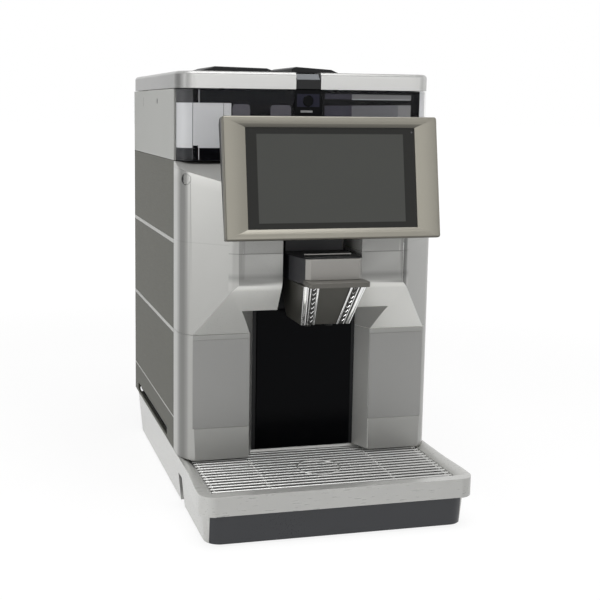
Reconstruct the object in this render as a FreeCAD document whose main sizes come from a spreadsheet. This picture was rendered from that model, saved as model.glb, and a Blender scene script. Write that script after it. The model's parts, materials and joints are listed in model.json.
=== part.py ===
import FreeCAD, Part
import Sketcher
import math
import os

# Bean-to-cup coffee machine, millimetres, +Z up, X to the right and -Y to the front.
# The origin is the middle of the footprint, on the table.

doc = FreeCAD.newDocument("CoffeeMachine")
sheet = doc.addObject("Spreadsheet::Sheet", "Sizes")

# Driving dimensions: name, size, what it is
driving = [
    ("body_width", 334, "width over the side panels"),
    ("overall_depth", 520, "front of the tray rim to the rear cover"),
    ("tray_reach", 189, "front of the tray rim to the door's parting plane"),
    ("cover_gap", 0.4, "gap between fixed covers"),
    ("swing_gap", 0.5, "gap round the door, the lids and other moving covers"),
    ("slide_gap", 0.3, "gap between sliding pieces"),
    ("fit_gap", 0.05, "radial gap of a pin in its bore"),
    ("skin", 3, "wall of a moulded cover"),
    ("foot_height", 2.5, "rubber foot below the base"),
    ("foot_radius", 10, "rubber foot"),
    ("base_height", 63.4, "table to the top of the base"),
    ("base_inset", 28, "rear end of the base ahead of the rear cover"),
    ("base_draft", 6, "how far each side of the base leans in at the table"),
    ("rim_side", 2.7, "silver surround of the drip tray past each side"),
    ("rim_band", 23.8, "height of the surround's front band"),
    ("rim_overhang", 10.4, "surround ahead of the tray front"),
    ("rim_radius", 19, "front corners of the surround and the tray"),
    ("rim_border", 16.7, "surround beside the grille"),
    ("rim_front_border", 24, "surround ahead of the grille"),
    ("rim_lip_drop", 4.9, "slope inside the surround"),
    ("grille_rear", 20, "parting plane to the rear edge of the grille opening"),
    ("grille_ledge", 4, "ledge that carries the grille"),
    ("grille_seat", 53.9, "height of that ledge"),
    ("bay_side", 15, "base beside the bay for the drip tray"),
    ("bay_top", 40, "ceiling of the bay"),
    ("bay_reach", 75, "bay behind the parting plane"),
    ("runner_height", 4, "runners under the tray"),
    ("runner_width", 6, "runners under the tray"),
    ("tray_front_depth", 7.4, "front panel of the drip tray"),
    ("tray_side", 10.5, "base beside the front panel of the drip tray"),
    ("tray_wall", 2.5, "wall of the drip tray"),
    ("notch_front", 46, "notch in the side skirt, front edge"),
    ("notch_rear", 22, "notch in the side skirt, rear edge"),
    ("rod_radius", 1.6, "wires of the grille"),
    ("rod_count", 15, "long wires of the grille"),
    ("cross_radius", 1.5, "cross wires of the grille"),
    ("cross_place", 78.5, "inner cross wires from the middle"),
    ("ring_radius", 27, "cup ring of the grille"),
    ("ring_front", 95, "centre of the cup ring ahead of the parting plane"),
    ("strip_radius", 39, "round between the side and the sloping front strip of the door"),
    ("facet_inset", 14.5, "side to the line where the sloping strip meets the column front"),
    ("ridge_round", 25, "round between the sloping strip and the centre face"),
    ("column_depth", 52, "door columns ahead of the parting plane"),
    ("column_inner", 79.5, "middle to the front edge of a column"),
    ("cavity_half", 69, "middle to the rear edge of a column"),
    ("liner_depth", 24.4, "cup recess liner ahead of the parting plane"),
    ("split_height", 224, "line between the columns and the door head"),
    ("panel_low", 104.3, "lower edge of the column panels"),
    ("panel_high", 217.6, "upper edge of the column panels"),
    ("panel_thick", 0.8, "column panels"),
    ("flare", 3, "how far the column foot stands forward"),
    ("sill_height", 437, "top of the door, foot of the hopper windows"),
    ("head_depth", 95.5, "centre face of the head ahead of the parting plane"),
    ("head_half", 107, "middle to the ridge of the head"),
    ("ramp_top", 292, "upper edge of the sloping underside of the head"),
    ("ramp_round", 18, "round between the underside and the centre face"),
    ("shoulder_slope", 0.3, "fall of the shoulder for each unit of depth"),
    ("shoulder_start", 8, "start of the shoulder ahead of the parting plane"),
    ("channel_width", 101, "channel for the spout"),
    ("channel_top", 362, "top of the channel"),
    ("cup_top_front", 260.7, "ceiling of the cup recess at the front"),
    ("cup_top_rear", 249, "ceiling of the cup recess at the liner"),
    ("cup_flare_low", 19.3, "flare of the recess at its foot"),
    ("cup_flare_high", 41.4, "flare of the recess at its ceiling"),
    ("cup_cut_depth", 100, "depth at which the flare is measured"),
    ("hinge_inset", 9, "hinge axis from the side and the parting plane"),
    ("hinge_pin", 2.5, "radius of the hinge pins"),
    ("hinge_barrel", 5.4, "radius of the hinge barrel"),
    ("frame_thick", 3.5, "inner frame plate of the door"),
    ("display_width", 266, "display housing"),
    ("display_height", 145.2, "display housing along its slope"),
    ("display_foot", 351.5, "lower edge of the display"),
    ("display_reach", 143, "lower edge of the display ahead of the parting plane"),
    ("display_tilt", 9.9, "lean of the display in degrees"),
    ("bezel_thick", 7, "display frame"),
    ("bezel_side", 28, "side band of the display frame"),
    ("bezel_band", 13, "upper and lower band of the display frame"),
    ("glass_thick", 2, "display glass"),
    ("shell_low", 9, "back shell of the display at its lower edge"),
    ("shell_high", 17, "back shell of the display at its upper edge"),
    ("bracket_width", 140, "neck behind the display"),
    ("spout_half", 35, "half width of the spout at its front plate"),
    ("spout_rear_half", 42.5, "half width of the spout in its channel"),
    ("spout_front", 144.5, "front plate of the spout ahead of the parting plane"),
    ("spout_flare_depth", 96, "where the spout reaches its full width"),
    ("spout_rear", 31, "rear of the spout housing ahead of the parting plane"),
    ("spout_low", 303, "lower edge of the front plate"),
    ("spout_high", 328, "upper edge of the front plate"),
    ("spout_crown", 345, "top of the spout housing"),
    ("collar_thick", 6, "lip under the front plate"),
    ("collar_reach", 164.3, "lip ahead of the parting plane"),
    ("collar_half", 37.3, "half width of the lip"),
    ("nose_foot", 243.5, "lower end of the spout nose"),
    ("nose_half", 31.5, "half width of the nose at its foot"),
    ("nose_front", 109, "front of the nose at its foot"),
    ("nozzle_radius", 5, "coffee outlets"),
    ("nozzle_pitch", 28, "coffee outlets"),
    ("nozzle_drop", 7, "coffee outlets below the nose"),
    ("slide_slot", 16, "slot for the spout carriage"),
    ("carriage_low", 334, "foot of the spout carriage"),
    ("spout_travel", 92, "travel of the spout"),
    ("lock_radius", 6.6, "door lock"),
    ("lock_height", 416.5, "door lock"),
    ("lock_front", 43, "door lock ahead of the parting plane"),
    ("side_thick", 3.4, "side panels"),
    ("strip_top", 338.1, "upper strip on the side panels"),
    ("strip_mid", 223, "middle strip on the side panels"),
    ("strip_low", 107.6, "lower strip on the side panels"),
    ("strip_height", 5, "upper and middle strips"),
    ("slot_low", 67.5, "carrying slot in the side panels"),
    ("slot_height", 11.5, "carrying slot in the side panels"),
    ("slot_start", 48.6, "carrying slot from the parting plane"),
    ("slot_rest", 26.5, "panel behind the carrying slot"),
    ("rear_thick", 3.3, "rear cover"),
    ("lid_level", 526.4, "foot of the lids"),
    ("lid_height", 21.2, "lids"),
    ("lid_reach", 25, "lids ahead of the parting plane"),
    ("lid_gap_half", 15.9, "half width of the strip between the lids"),
    ("lid_radius", 25, "front corners of the lids"),
    ("lid_round", 5, "upper edges of the lids"),
    ("lid_inset", 9, "rear of the lids ahead of the rear cover"),
    ("lid_axis_inset", 4, "hinge axis of the lids ahead of their rear"),
    ("lid_axis_height", 541, "hinge axis of the lids"),
    ("lid_pin", 1.5, "radius of the lid hinge pins"),
    ("lid_ear", 3, "radius of the lid hinge ears"),
    ("window_reach", 23.5, "windows ahead of the parting plane"),
    ("window_thick", 2.5, "windows"),
    ("window_straight", 1, "straight part of a window's side behind its round corner"),
    ("sill_thick", 10, "black base of the hopper bay"),
    ("sill_lip", 16, "height of its lip behind the windows"),
    ("deck_thick", 5, "top deck round the hopper and the tank"),
    ("flap_left", 14, "chute flap to the left of the middle"),
    ("flap_right", 50, "chute flap to the right of the middle"),
    ("flap_front", 4, "chute flap behind the parting plane"),
    ("flap_rear", 112, "hinge line of the chute flap behind the parting plane"),
    ("flap_thick", 8, "chute flap"),
    ("burr_radius", 29, "grinder burr"),
    ("grinder_radius", 42, "grinder housing"),
    ("motor_radius", 33, "grinder motor"),
    ("boiler_radius", 34, "boiler"),
    ("pump_radius", 21, "pump coil"),
    ("pipe_radius", 3, "water pipe"),
    ("rocker_width", 20, "power switch"),
    ("rocker_height", 28, "power switch"),
]


class Dim:
    """A length that knows its number and the sheet formula that gives it."""

    def __init__(self, number, text):
        self.number = number
        self.text = text

    def __add__(self, other):
        other = dim(other)
        return Dim(self.number + other.number, f"({self.text} + {other.text})")

    def __radd__(self, other):
        return dim(other) + self

    def __sub__(self, other):
        other = dim(other)
        return Dim(self.number - other.number, f"({self.text} - {other.text})")

    def __rsub__(self, other):
        return dim(other) - self

    def __mul__(self, other):
        other = dim(other)
        return Dim(self.number * other.number, f"({self.text} * {other.text})")

    def __rmul__(self, other):
        return dim(other) * self

    def __truediv__(self, other):
        other = dim(other)
        return Dim(self.number / other.number, f"({self.text} / {other.text})")

    def __neg__(self):
        return Dim(-self.number, f"(-{self.text})")

    def tan(self):
        return Dim(math.tan(math.radians(self.number)), f"tan({self.text} * 1deg)")

    def cos(self):
        return Dim(math.cos(math.radians(self.number)), f"cos({self.text} * 1deg)")

    def sin(self):
        return Dim(math.sin(math.radians(self.number)), f"sin({self.text} * 1deg)")


def dim(value):
    if isinstance(value, Dim):
        return value
    return Dim(float(value), repr(float(value)))


class Sizes:
    """The driving dimensions as attributes."""


s = Sizes()
for row, (name, number, note) in enumerate(driving, start=1):
    sheet.set(f"A{row}", name)
    sheet.set(f"B{row}", str(number))
    sheet.set(f"C{row}", note)
    sheet.setAlias(f"B{row}", name)
    setattr(s, name, Dim(float(number), f"Sizes.{name}"))
doc.recompute()

# Places worked out from the driving dimensions
half = s.body_width / 2
parting = s.tray_reach - s.overall_depth / 2
rear = s.overall_depth / 2
front = -s.overall_depth / 2
door_back = parting - s.swing_gap
door_foot = s.base_height + s.swing_gap
door_top = s.sill_height - s.swing_gap
panel_start = parting + s.swing_gap
window_top = s.lid_level - s.cover_gap
lid_top = s.lid_level + s.lid_height
rim_foot = s.base_height - s.rim_band
deck_top = window_top - s.cover_gap


def behind(distance):
    """A place behind the parting plane."""
    return parting + distance


def ahead(distance):
    """A place ahead of the parting plane."""
    return parting - distance


def rect(u0, u1, v0, v1):
    """Outline of a rectangle."""
    return [(u0, v0), (u1, v0), (u1, v1), (u0, v1)]


class Disc:
    """Outline of a circle."""

    def __init__(self, u, v, radius):
        self.u = dim(u)
        self.v = dim(v)
        self.radius = dim(radius)


# The plane that a sketch lies on and the sign of its normal
sketch_planes = {"top": ("XY_Plane", 1), "front": ("XZ_Plane", -1), "side": ("YZ_Plane", 1)}
pieces = []


def plain(point):
    """A sketch point as numbers."""
    return FreeCAD.Vector(number(point[0]), number(point[1]), 0)


def step_between(start, end):
    """Direction of an upright or level side, as two signs."""
    across = number(end[0]) - number(start[0])
    along = number(end[1]) - number(start[1])
    if abs(across) > abs(along):
        return (1 if across > 0 else -1, 0)
    return (0, 1 if along > 0 else -1)


class Moulding:
    """A body built up from sketches that the sheet drives."""

    def __init__(self, name):
        self.body = doc.addObject("PartDesign::Body", name)
        self.name = name
        self.count = 0
        pieces.append(self.body)

    def label(self, kind):
        self.count += 1
        return f"{self.name}_{kind}_{self.count}"

    def sketch(self, plane, place, outline):
        role, normal = sketch_planes[plane]
        base = next(f for f in self.body.Origin.OriginFeatures if f.Role == role)
        sketch = self.body.newObject("Sketcher::SketchObject", self.label("sketch"))
        sketch.AttachmentSupport = [(base, "")]
        sketch.MapMode = "FlatFace"
        sketch.setExpression("AttachmentOffset.Base.z", (normal * dim(place)).text)
        if isinstance(outline, Disc):
            centre = FreeCAD.Vector(outline.u.number, outline.v.number, 0)
            sketch.addGeometry(Part.Circle(centre, FreeCAD.Vector(0, 0, 1), outline.radius.number), False)
            self.pin(sketch, 0, 3, outline.u, outline.v)
            index = sketch.addConstraint(Sketcher.Constraint("Radius", 0, outline.radius.number))
            sketch.setExpression(f"Constraints[{index}]", outline.radius.text)
            return sketch
        self.trace(sketch, [tuple(dim(value) for value in corner) for corner in outline])
        return sketch

    def trace(self, sketch, corners):
        """Draws straight sides; a corner with a third value is rounded by that radius."""
        count = len(corners)
        stops, arcs = [], []
        for index, corner in enumerate(corners):
            if len(corner) == 2:
                stops.append((corner, corner))
                continue
            arriving = step_between(corners[index - 1], corner)
            leaving = step_between(corner, corners[(index + 1) % count])
            u, v, radius = corner
            first = (u - arriving[0] * radius, v - arriving[1] * radius)
            last = (u + leaving[0] * radius, v + leaving[1] * radius)
            centre = (first[0] + leaving[0] * radius, first[1] + leaving[1] * radius)
            turns_left = arriving[0] * leaving[1] - arriving[1] * leaving[0] > 0
            stops.append((first, last))
            arcs.append((index, centre, radius, turns_left))
        for index in range(count):
            line = Part.LineSegment(plain(stops[index][1]), plain(stops[(index + 1) % count][0]))
            sketch.addGeometry(line, False)
        for index in range(count):
            following = (index + 1) % count
            self.pin(sketch, index, 1, *stops[index][1][:2])
            if len(corners[following]) == 3:
                self.pin(sketch, index, 2, *stops[following][0][:2])
            else:
                self.join(sketch, index, 2, following, 1)
        for index, centre, radius, turns_left in arcs:
            first, last = stops[index]
            begin, finish = (first, last) if turns_left else (last, first)
            circle = Part.Circle(plain(centre), FreeCAD.Vector(0, 0, 1), radius.number)
            angles = [math.atan2(number(p[1]) - number(centre[1]), number(p[0]) - number(centre[0]))
                      for p in (begin, finish)]
            arc = sketch.addGeometry(Part.ArcOfCircle(circle, *angles), False)
            before = (index - 1) % count
            self.join(sketch, before, 2, arc, 1 if turns_left else 2)
            self.join(sketch, arc, 2 if turns_left else 1, index, 1)
            bound = sketch.addConstraint(Sketcher.Constraint("Radius", arc, radius.number))
            sketch.setExpression(f"Constraints[{bound}]", radius.text)

    def join(self, sketch, first, first_point, second, second_point):
        sketch.addConstraint(Sketcher.Constraint("Coincident", first, first_point, second, second_point))

    def pin(self, sketch, geometry, point, u, v):
        for kind, size in (("DistanceX", u), ("DistanceY", v)):
            index = sketch.addConstraint(Sketcher.Constraint(kind, -1, 1, geometry, point, size.number))
            sketch.setExpression(f"Constraints[{index}]", size.text)

    def pad(self, plane, outline, start, end):
        """Adds the outline carried from start to end across its plane."""
        normal = sketch_planes[plane][1]
        low = start if normal > 0 else end
        pad = self.body.newObject("PartDesign::Pad", self.label("pad"))
        pad.Profile = self.sketch(plane, low, outline)
        pad.setExpression("Length", (dim(end) - dim(start)).text)
        self.body.Tip = pad
        return self

    def pocket(self, plane, outline, start, end):
        """Cuts the outline away from start to end across its plane."""
        normal = sketch_planes[plane][1]
        high = end if normal > 0 else start
        sketch = self.sketch(plane, high, outline)
        doc.recompute()
        before = self.body.Shape.Volume
        pocket = self.body.newObject("PartDesign::Pocket", self.label("pocket"))
        pocket.Profile = sketch
        pocket.setExpression("Length", (dim(end) - dim(start)).text)
        self.body.Tip = pocket
        doc.recompute()
        if not self.body.Shape.Volume < before:
            raise ValueError(f"{pocket.Name} cuts nothing")
        return self

    def loft(self, plane, sections, cut=False):
        """Adds or cuts the ruled solid between two outlines, each given with its place."""
        sketches = [self.sketch(plane, place, outline) for place, outline in sections]
        kind = "PartDesign::SubtractiveLoft" if cut else "PartDesign::AdditiveLoft"
        loft = self.body.newObject(kind, self.label("loft"))
        loft.Profile = sketches[0]
        loft.Sections = sketches[1:]
        loft.Ruled = True
        self.body.Tip = loft
        return self

    def round(self, radius, wanted):
        """Rounds the edges that the test picks."""
        doc.recompute()
        tip = self.body.Tip
        names = [f"Edge{i}" for i, edge in enumerate(tip.Shape.Edges, start=1) if wanted(edge)]
        if not names:
            raise ValueError(f"no edge to round on {self.name}")
        fillet = self.body.newObject("PartDesign::Fillet", self.label("round"))
        fillet.Base = (tip, names)
        fillet.setExpression("Radius", dim(radius).text)
        self.body.Tip = fillet
        return self

    def chamfer(self, size, wanted):
        """Bevels the edges that the test picks."""
        doc.recompute()
        tip = self.body.Tip
        names = [f"Edge{i}" for i, edge in enumerate(tip.Shape.Edges, start=1) if wanted(edge)]
        if not names:
            raise ValueError(f"no edge to bevel on {self.name}")
        bevel = self.body.newObject("PartDesign::Chamfer", self.label("bevel"))
        bevel.Base = (tip, names)
        bevel.setExpression("Size", dim(size).text)
        self.body.Tip = bevel
        return self


def number(value):
    return dim(value).number


def ends(edge):
    first, last = edge.Vertexes[0].Point, edge.Vertexes[-1].Point
    return first, last


def runs(edge, axis, slack=0.2):
    """True where a straight edge runs mainly along the axis, 0 for X, 1 for Y and 2 for Z."""
    if not isinstance(edge.Curve, Part.Line):
        return False
    first, last = ends(edge)
    step = last - first
    others = [abs(step[i]) for i in range(3) if i != axis]
    return max(others) <= slack * abs(step[axis])


def near(value, wanted, slack=0.4):
    return abs(value - number(wanted)) < slack


def middle(edge):
    return edge.CenterOfMass


def block(name, x, y, z):
    """A box between three pairs of places."""
    box = doc.addObject("Part::Box", name)
    for side, (low, high) in zip(("Length", "Width", "Height"), (x, y, z)):
        box.setExpression(side, (dim(high) - dim(low)).text)
    for axis, (low, high) in zip("xyz", (x, y, z)):
        box.setExpression(f"Placement.Base.{axis}", dim(low).text)
    return box


def bar(name, axis, across, radius, start, end):
    """A round bar along the axis from start to end; across gives its other two places."""
    cylinder = doc.addObject("Part::Cylinder", name)
    cylinder.setExpression("Radius", dim(radius).text)
    cylinder.setExpression("Height", (dim(end) - dim(start)).text)
    turn = {"x": ((0, 1, 0), 90), "y": ((1, 0, 0), -90), "z": ((0, 0, 1), 0)}[axis]
    cylinder.Placement = FreeCAD.Placement(
        FreeCAD.Vector(0, 0, 0), FreeCAD.Rotation(FreeCAD.Vector(*turn[0]), turn[1]))
    places = dict(zip([a for a in "xyz" if a != axis], across))
    places[axis] = start
    for name_of_axis, place in places.items():
        cylinder.setExpression(f"Placement.Base.{name_of_axis}", dim(place).text)
    return cylinder


def joined(name, *shapes):
    union = doc.addObject("Part::MultiFuse", name)
    union.Shapes = list(shapes)
    return union


def without(name, base, *tools):
    cut = doc.addObject("Part::Cut", name)
    cut.Base = base
    cut.Tool = tools[0] if len(tools) == 1 else joined(f"{name}_tools", *tools)
    return cut


def group(name, *shapes):
    compound = doc.addObject("Part::Compound", name)
    compound.Links = list(shapes)
    return compound


def keep(piece):
    pieces.append(piece)
    return piece


def span(side, inner, outer):
    """Two places in rising order, mirrored for the left side."""
    return (-outer, -inner) if side < 0 else (inner, outer)


def skirt_half(height):
    """Half width of the base at a height: its sides lean in towards the table."""
    share = (s.base_height - height) / (s.base_height - s.foot_height)
    return half - s.base_draft * share


# Base frame: drafted skirt, silver surround of the tray, bay with runners, deck
skirt_front = front + s.rim_overhang
base_rear = rear - s.base_inset
rim_half = half + s.rim_side
opening_half = rim_half - s.rim_border
opening_front = front + s.rim_front_border
opening_rear = ahead(s.grille_rear)
bay_half = half - s.bay_side
bay_rear = behind(s.bay_reach)
runner_top = s.foot_height + s.runner_height
panel_half = half - s.tray_side
arm_front = skirt_front + s.tray_front_depth
lip_run = 10
hinge_x = half - s.hinge_inset
hinge_y = ahead(s.hinge_inset)
pin_bore = s.hinge_pin + s.fit_gap
foot_places = [(side, place) for side in (-1, 1) for place in (22, 205)]
foot_x = half - 34


def make_base():
    base = Moulding("base_frame")
    foot = s.foot_height
    drafted = [(-skirt_half(foot), foot), (skirt_half(foot), foot), (half, s.base_height),
               (-half, s.base_height)]
    base.pad("front", drafted, skirt_front, base_rear)
    base.round(s.rim_radius, lambda e: runs(e, 2) and near(middle(e).y, skirt_front))
    base.round(6, lambda e: runs(e, 2) and near(middle(e).y, base_rear))
    blend = ahead(s.notch_front)
    straight = front + s.rim_radius * 2
    rim = [(-rim_half, front), (rim_half, front), (rim_half, straight), (half - 3, blend),
           (3 - half, blend), (-rim_half, straight)]
    base.pad("top", rim, rim_foot, s.base_height)
    base.round(s.rim_radius, lambda e: runs(e, 2) and near(middle(e).y, front))
    base.pocket("top", rect(-bay_half, bay_half, front - 1, bay_rear), runner_top, s.bay_top)
    slit = bay_half - s.runner_width
    base.pocket("top", rect(-slit, slit, front - 1, bay_rear), 0, runner_top)
    mouth = panel_half + s.slide_gap
    base.pocket("top", rect(-mouth, mouth, front - 1, arm_front + s.slide_gap), 0, rim_foot)
    lip_foot = s.base_height - s.rim_lip_drop
    upper = rect(-opening_half - lip_run, opening_half + lip_run, opening_front - lip_run, opening_rear + 2)
    lower = rect(-opening_half, opening_half, opening_front, opening_rear)
    base.loft("top", [(lip_foot, lower), (s.base_height, upper)], cut=True)
    base.pocket("top", lower, s.grille_seat, lip_foot + 0.1)
    ledge = s.grille_ledge
    hole = rect(ledge - opening_half, opening_half - ledge, opening_front + ledge, opening_rear - ledge)
    base.pocket("top", hole, s.bay_top - 0.1, s.grille_seat)
    base.pocket("side", rect(ahead(s.notch_front), ahead(s.notch_rear), 0, rim_foot), -half - 1, half + 1)
    hollow = foot_x + s.foot_radius + s.skin / 2
    for side in (-1, 1):
        low, high = span(side, s.skin, hollow)
        room = rect(low, high, bay_rear + s.skin, base_rear - 2 * s.skin)
        base.pocket("top", room, 0, s.base_height - 2 * s.skin)
    roof = rect(s.skin - bay_half, bay_half - s.skin, ahead(12), bay_rear - s.skin)
    base.pocket("top", roof, s.bay_top - 0.1, s.base_height - s.skin)
    for side, place in foot_places:
        boss = Disc(side * foot_x, behind(80 + place), s.foot_radius + s.skin)
        base.pad("top", boss, s.foot_height, s.base_height - s.skin)
    base.pocket("top", Disc(hinge_x, hinge_y, pin_bore), s.base_height - 14, s.base_height)
    return base


def make_feet():
    feet = [bar(f"foot_{i}", "z", (side * foot_x, behind(80 + place)), s.foot_radius, 0, s.foot_height)
            for i, (side, place) in enumerate(foot_places)]
    pad_x = bay_half - s.runner_width + 1
    for side in (-1, 1):
        low, high = sorted((side * pad_x, side * (pad_x + 10)), key=number)
        length = (arm_front + 15, arm_front + 45)
        feet.append(block(f"arm_pad_{side + 1}", (low, high), length, (0, s.foot_height)))
    keep(group("rubber_feet", *feet))


# Drip tray: front panel between the arms, basin on the runners
tray_top = rim_foot - s.swing_gap
basin_half = bay_half - 2 * s.slide_gap
basin_rear = bay_rear - 5
basin_foot = runner_top + s.slide_gap


def make_drip_tray():
    tray = Moulding("drip_tray")
    low = s.foot_height
    face = [(-skirt_half(low), low), (skirt_half(low), low), (skirt_half(tray_top), tray_top),
            (-skirt_half(tray_top), tray_top)]
    block_rear = skirt_front + s.rim_radius + 5
    tray.pad("front", face, skirt_front, block_rear)
    tray.round(s.rim_radius, lambda e: runs(e, 2) and near(middle(e).y, skirt_front))
    for side in (-1, 1):
        near_x, far_x = sorted((side * panel_half, side * (half + 5)), key=number)
        tray.pocket("top", rect(near_x, far_x, front, block_rear + 1), 0, s.base_height)
    tray.pocket("top", rect(-half, half, arm_front, block_rear + 1), 0, s.base_height)
    tray.pad("top", rect(-basin_half, basin_half, arm_front - 1, basin_rear), basin_foot, tray_top)
    wall = s.tray_wall
    inner = rect(wall - basin_half, basin_half - wall, arm_front - 1 + wall, basin_rear - wall)
    tray.pocket("top", inner, basin_foot + wall, tray_top)
    for side in (-1, 1):
        rib = side * basin_half / 3
        tray.pad("top", rect(rib - 1, rib + 1, arm_front, basin_rear - wall), basin_foot + 1, basin_foot + 12)
    return tray


# Wire grille: border, long wires, cross wires and the cup ring
frame_foot = s.grille_seat + s.slide_gap
wire_height = frame_foot + 2 * s.cross_radius + s.rod_radius - 0.6
grille_front = opening_front + s.slide_gap
grille_back = opening_rear - s.slide_gap


def make_grille():
    grille = Moulding("drip_grille")
    edge = opening_half - s.slide_gap
    top = frame_foot + 2 * s.cross_radius
    width = 2 * s.cross_radius
    grille.pad("top", rect(-edge, edge, grille_front, grille_back), frame_foot, top)
    cells = [-edge + width, -s.cross_place - width / 2, s.cross_place - width / 2, edge]
    for left, right in zip(cells, cells[1:]):
        opening = rect(left, right - width, grille_front + width, grille_back - width)
        grille.pocket("top", opening, frame_foot, top)
    first = grille_front + 6.5
    last = grille_back - 4
    flat = s.rod_radius * math.tan(math.pi / 8)
    wire = [(first - s.rod_radius, wire_height - flat), (first - flat, wire_height - s.rod_radius),
            (first + flat, wire_height - s.rod_radius), (first + s.rod_radius, wire_height - flat),
            (first + s.rod_radius, wire_height + flat), (first + flat, wire_height + s.rod_radius),
            (first - flat, wire_height + s.rod_radius), (first - s.rod_radius, wire_height + flat)]
    grille.pad("side", wire, 1 - edge, edge - 1)
    rod = grille.body.Tip
    pattern = grille.body.newObject("PartDesign::LinearPattern", "grille_wires")
    pattern.Originals = [rod]
    pattern.Direction = (rod.Profile[0], ["H_Axis"])
    pattern.setExpression("Length", (last - first).text)
    pattern.setExpression("Occurrences", s.rod_count.text)
    grille.body.Tip = pattern
    doc.recompute()
    centre = ahead(s.ring_front)
    grille.pad("top", Disc(0, centre, s.ring_radius + 1.2), top - 1, wire_height + 0.8)
    grille.pocket("top", Disc(0, centre, s.ring_radius - 1.2), top - 1, wire_height + 0.8)
    return grille


# Fixed covers behind the parting plane
inner_half = half - s.side_thick - s.cover_gap
cover_foot = s.base_height + s.cover_gap
cover_rear = rear - s.rear_thick - s.cover_gap
shelf_foot = s.sill_height + s.cover_gap
shelf_top = shelf_foot + s.sill_thick
window_front = ahead(s.window_reach)
window_rear = ahead(s.swing_gap)
window_corner = s.window_reach - s.window_straight

# Outer sides of the bean hopper and the water tank, rear of the tank
hopper_half = inner_half - 5.2
tank_half = inner_half - 8.2
tank_rear = cover_rear - 17.3


def sides():
    """Both sides of the machine: name, sign."""
    return (("left", -1), ("right", 1))


def make_side_panels():
    for name, side in sides():
        low, high = span(side, half - s.side_thick, half)
        panel = Moulding(f"side_panel_{name}")
        panel.pad("side", rect(panel_start, cover_rear, cover_foot, s.sill_height), low, high)
        panel.round(3, lambda e: runs(e, 0) and near(middle(e).y, panel_start) and middle(e).z < 100)
        slot = rect(behind(s.slot_start), cover_rear - s.slot_rest, s.slot_low, s.slot_low + s.slot_height)
        panel.pocket("side", slot, low - 1, high + 1)
        panel.round(s.slot_height / 2 - 0.1, lambda e: runs(e, 0) and e.Length < 5 and 60 < middle(e).z < 90
                    and middle(e).y > number(behind(10)))
        outer = half - 0.8 if side > 0 else -half - 1
        for top, height in ((s.strip_top, s.strip_height), (s.strip_mid, s.strip_height), (s.strip_low, 2)):
            strip = rect(panel_start - 1, cover_rear + 1, top - height, top)
            panel.pocket("side", strip, outer, outer + 1.8)
        inner_low, inner_high = span(side, half - s.side_thick - 3, half - s.side_thick)
        for place in (40, 165, 290):
            rib = rect(behind(place), behind(place) + 2, cover_foot + 20, s.sill_height - 10)
            if place != 165:
                panel.pad("side", rib, inner_low, inner_high)


def make_side_strips():
    strips = []
    for name, side in sides():
        low, high = span(side, half - 0.75, half)
        for top, height in ((s.strip_top, s.strip_height), (s.strip_mid, s.strip_height), (s.strip_low, 2)):
            label = f"strip_{name}_{len(strips)}"
            level = (top - height + 0.05, top - 0.05)
            strips.append(block(label, (low, high), (panel_start, cover_rear), level))
    keep(group("side_strips", *strips))


def make_upper_panels():
    for name, side in sides():
        low, high = span(side, half - s.side_thick, half)
        panel = Moulding(f"upper_panel_{name}")
        panel.pad("side", rect(panel_start, cover_rear, shelf_foot, window_top), low, high)
        panel.pocket("side", rect(behind(240), behind(242), 504, 516.5), low - 1, high + 1)
        panel.pocket("side", Disc(behind(123.4), 511, 4), low - 1, high + 1)


def make_rear_cover():
    cover = Moulding("rear_cover")
    cover.pad("front", rect(-half, half, cover_foot, window_top), rear - s.rear_thick, rear)
    cover.round(3, lambda e: runs(e, 2) and near(middle(e).y, rear))
    for column in (-110, -55):
        for row in range(9):
            low = 330 + row * 9
            cover.pocket("front", rect(column, column + 40, low, low + 4), rear - s.rear_thick - 1, rear + 1)
    cover.pocket("front", rect(80, 108, 84, 108), rear - s.rear_thick - 1, rear + 1)
    wide, tall = s.rocker_width / 2, s.rocker_height / 2
    rocker = rect(40 - wide, 40 + wide, 96 - tall, 96 + tall)
    cover.pocket("front", rocker, rear - s.rear_thick - 1, rear + 1)
    for side in (-1, 1):
        low, high = span(side, inner_half - 8, inner_half)
        rib = rect(low, high, cover_foot + 10, shelf_foot - 10)
        cover.pad("front", rib, rear - s.rear_thick - 6, rear - s.rear_thick)


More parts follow.
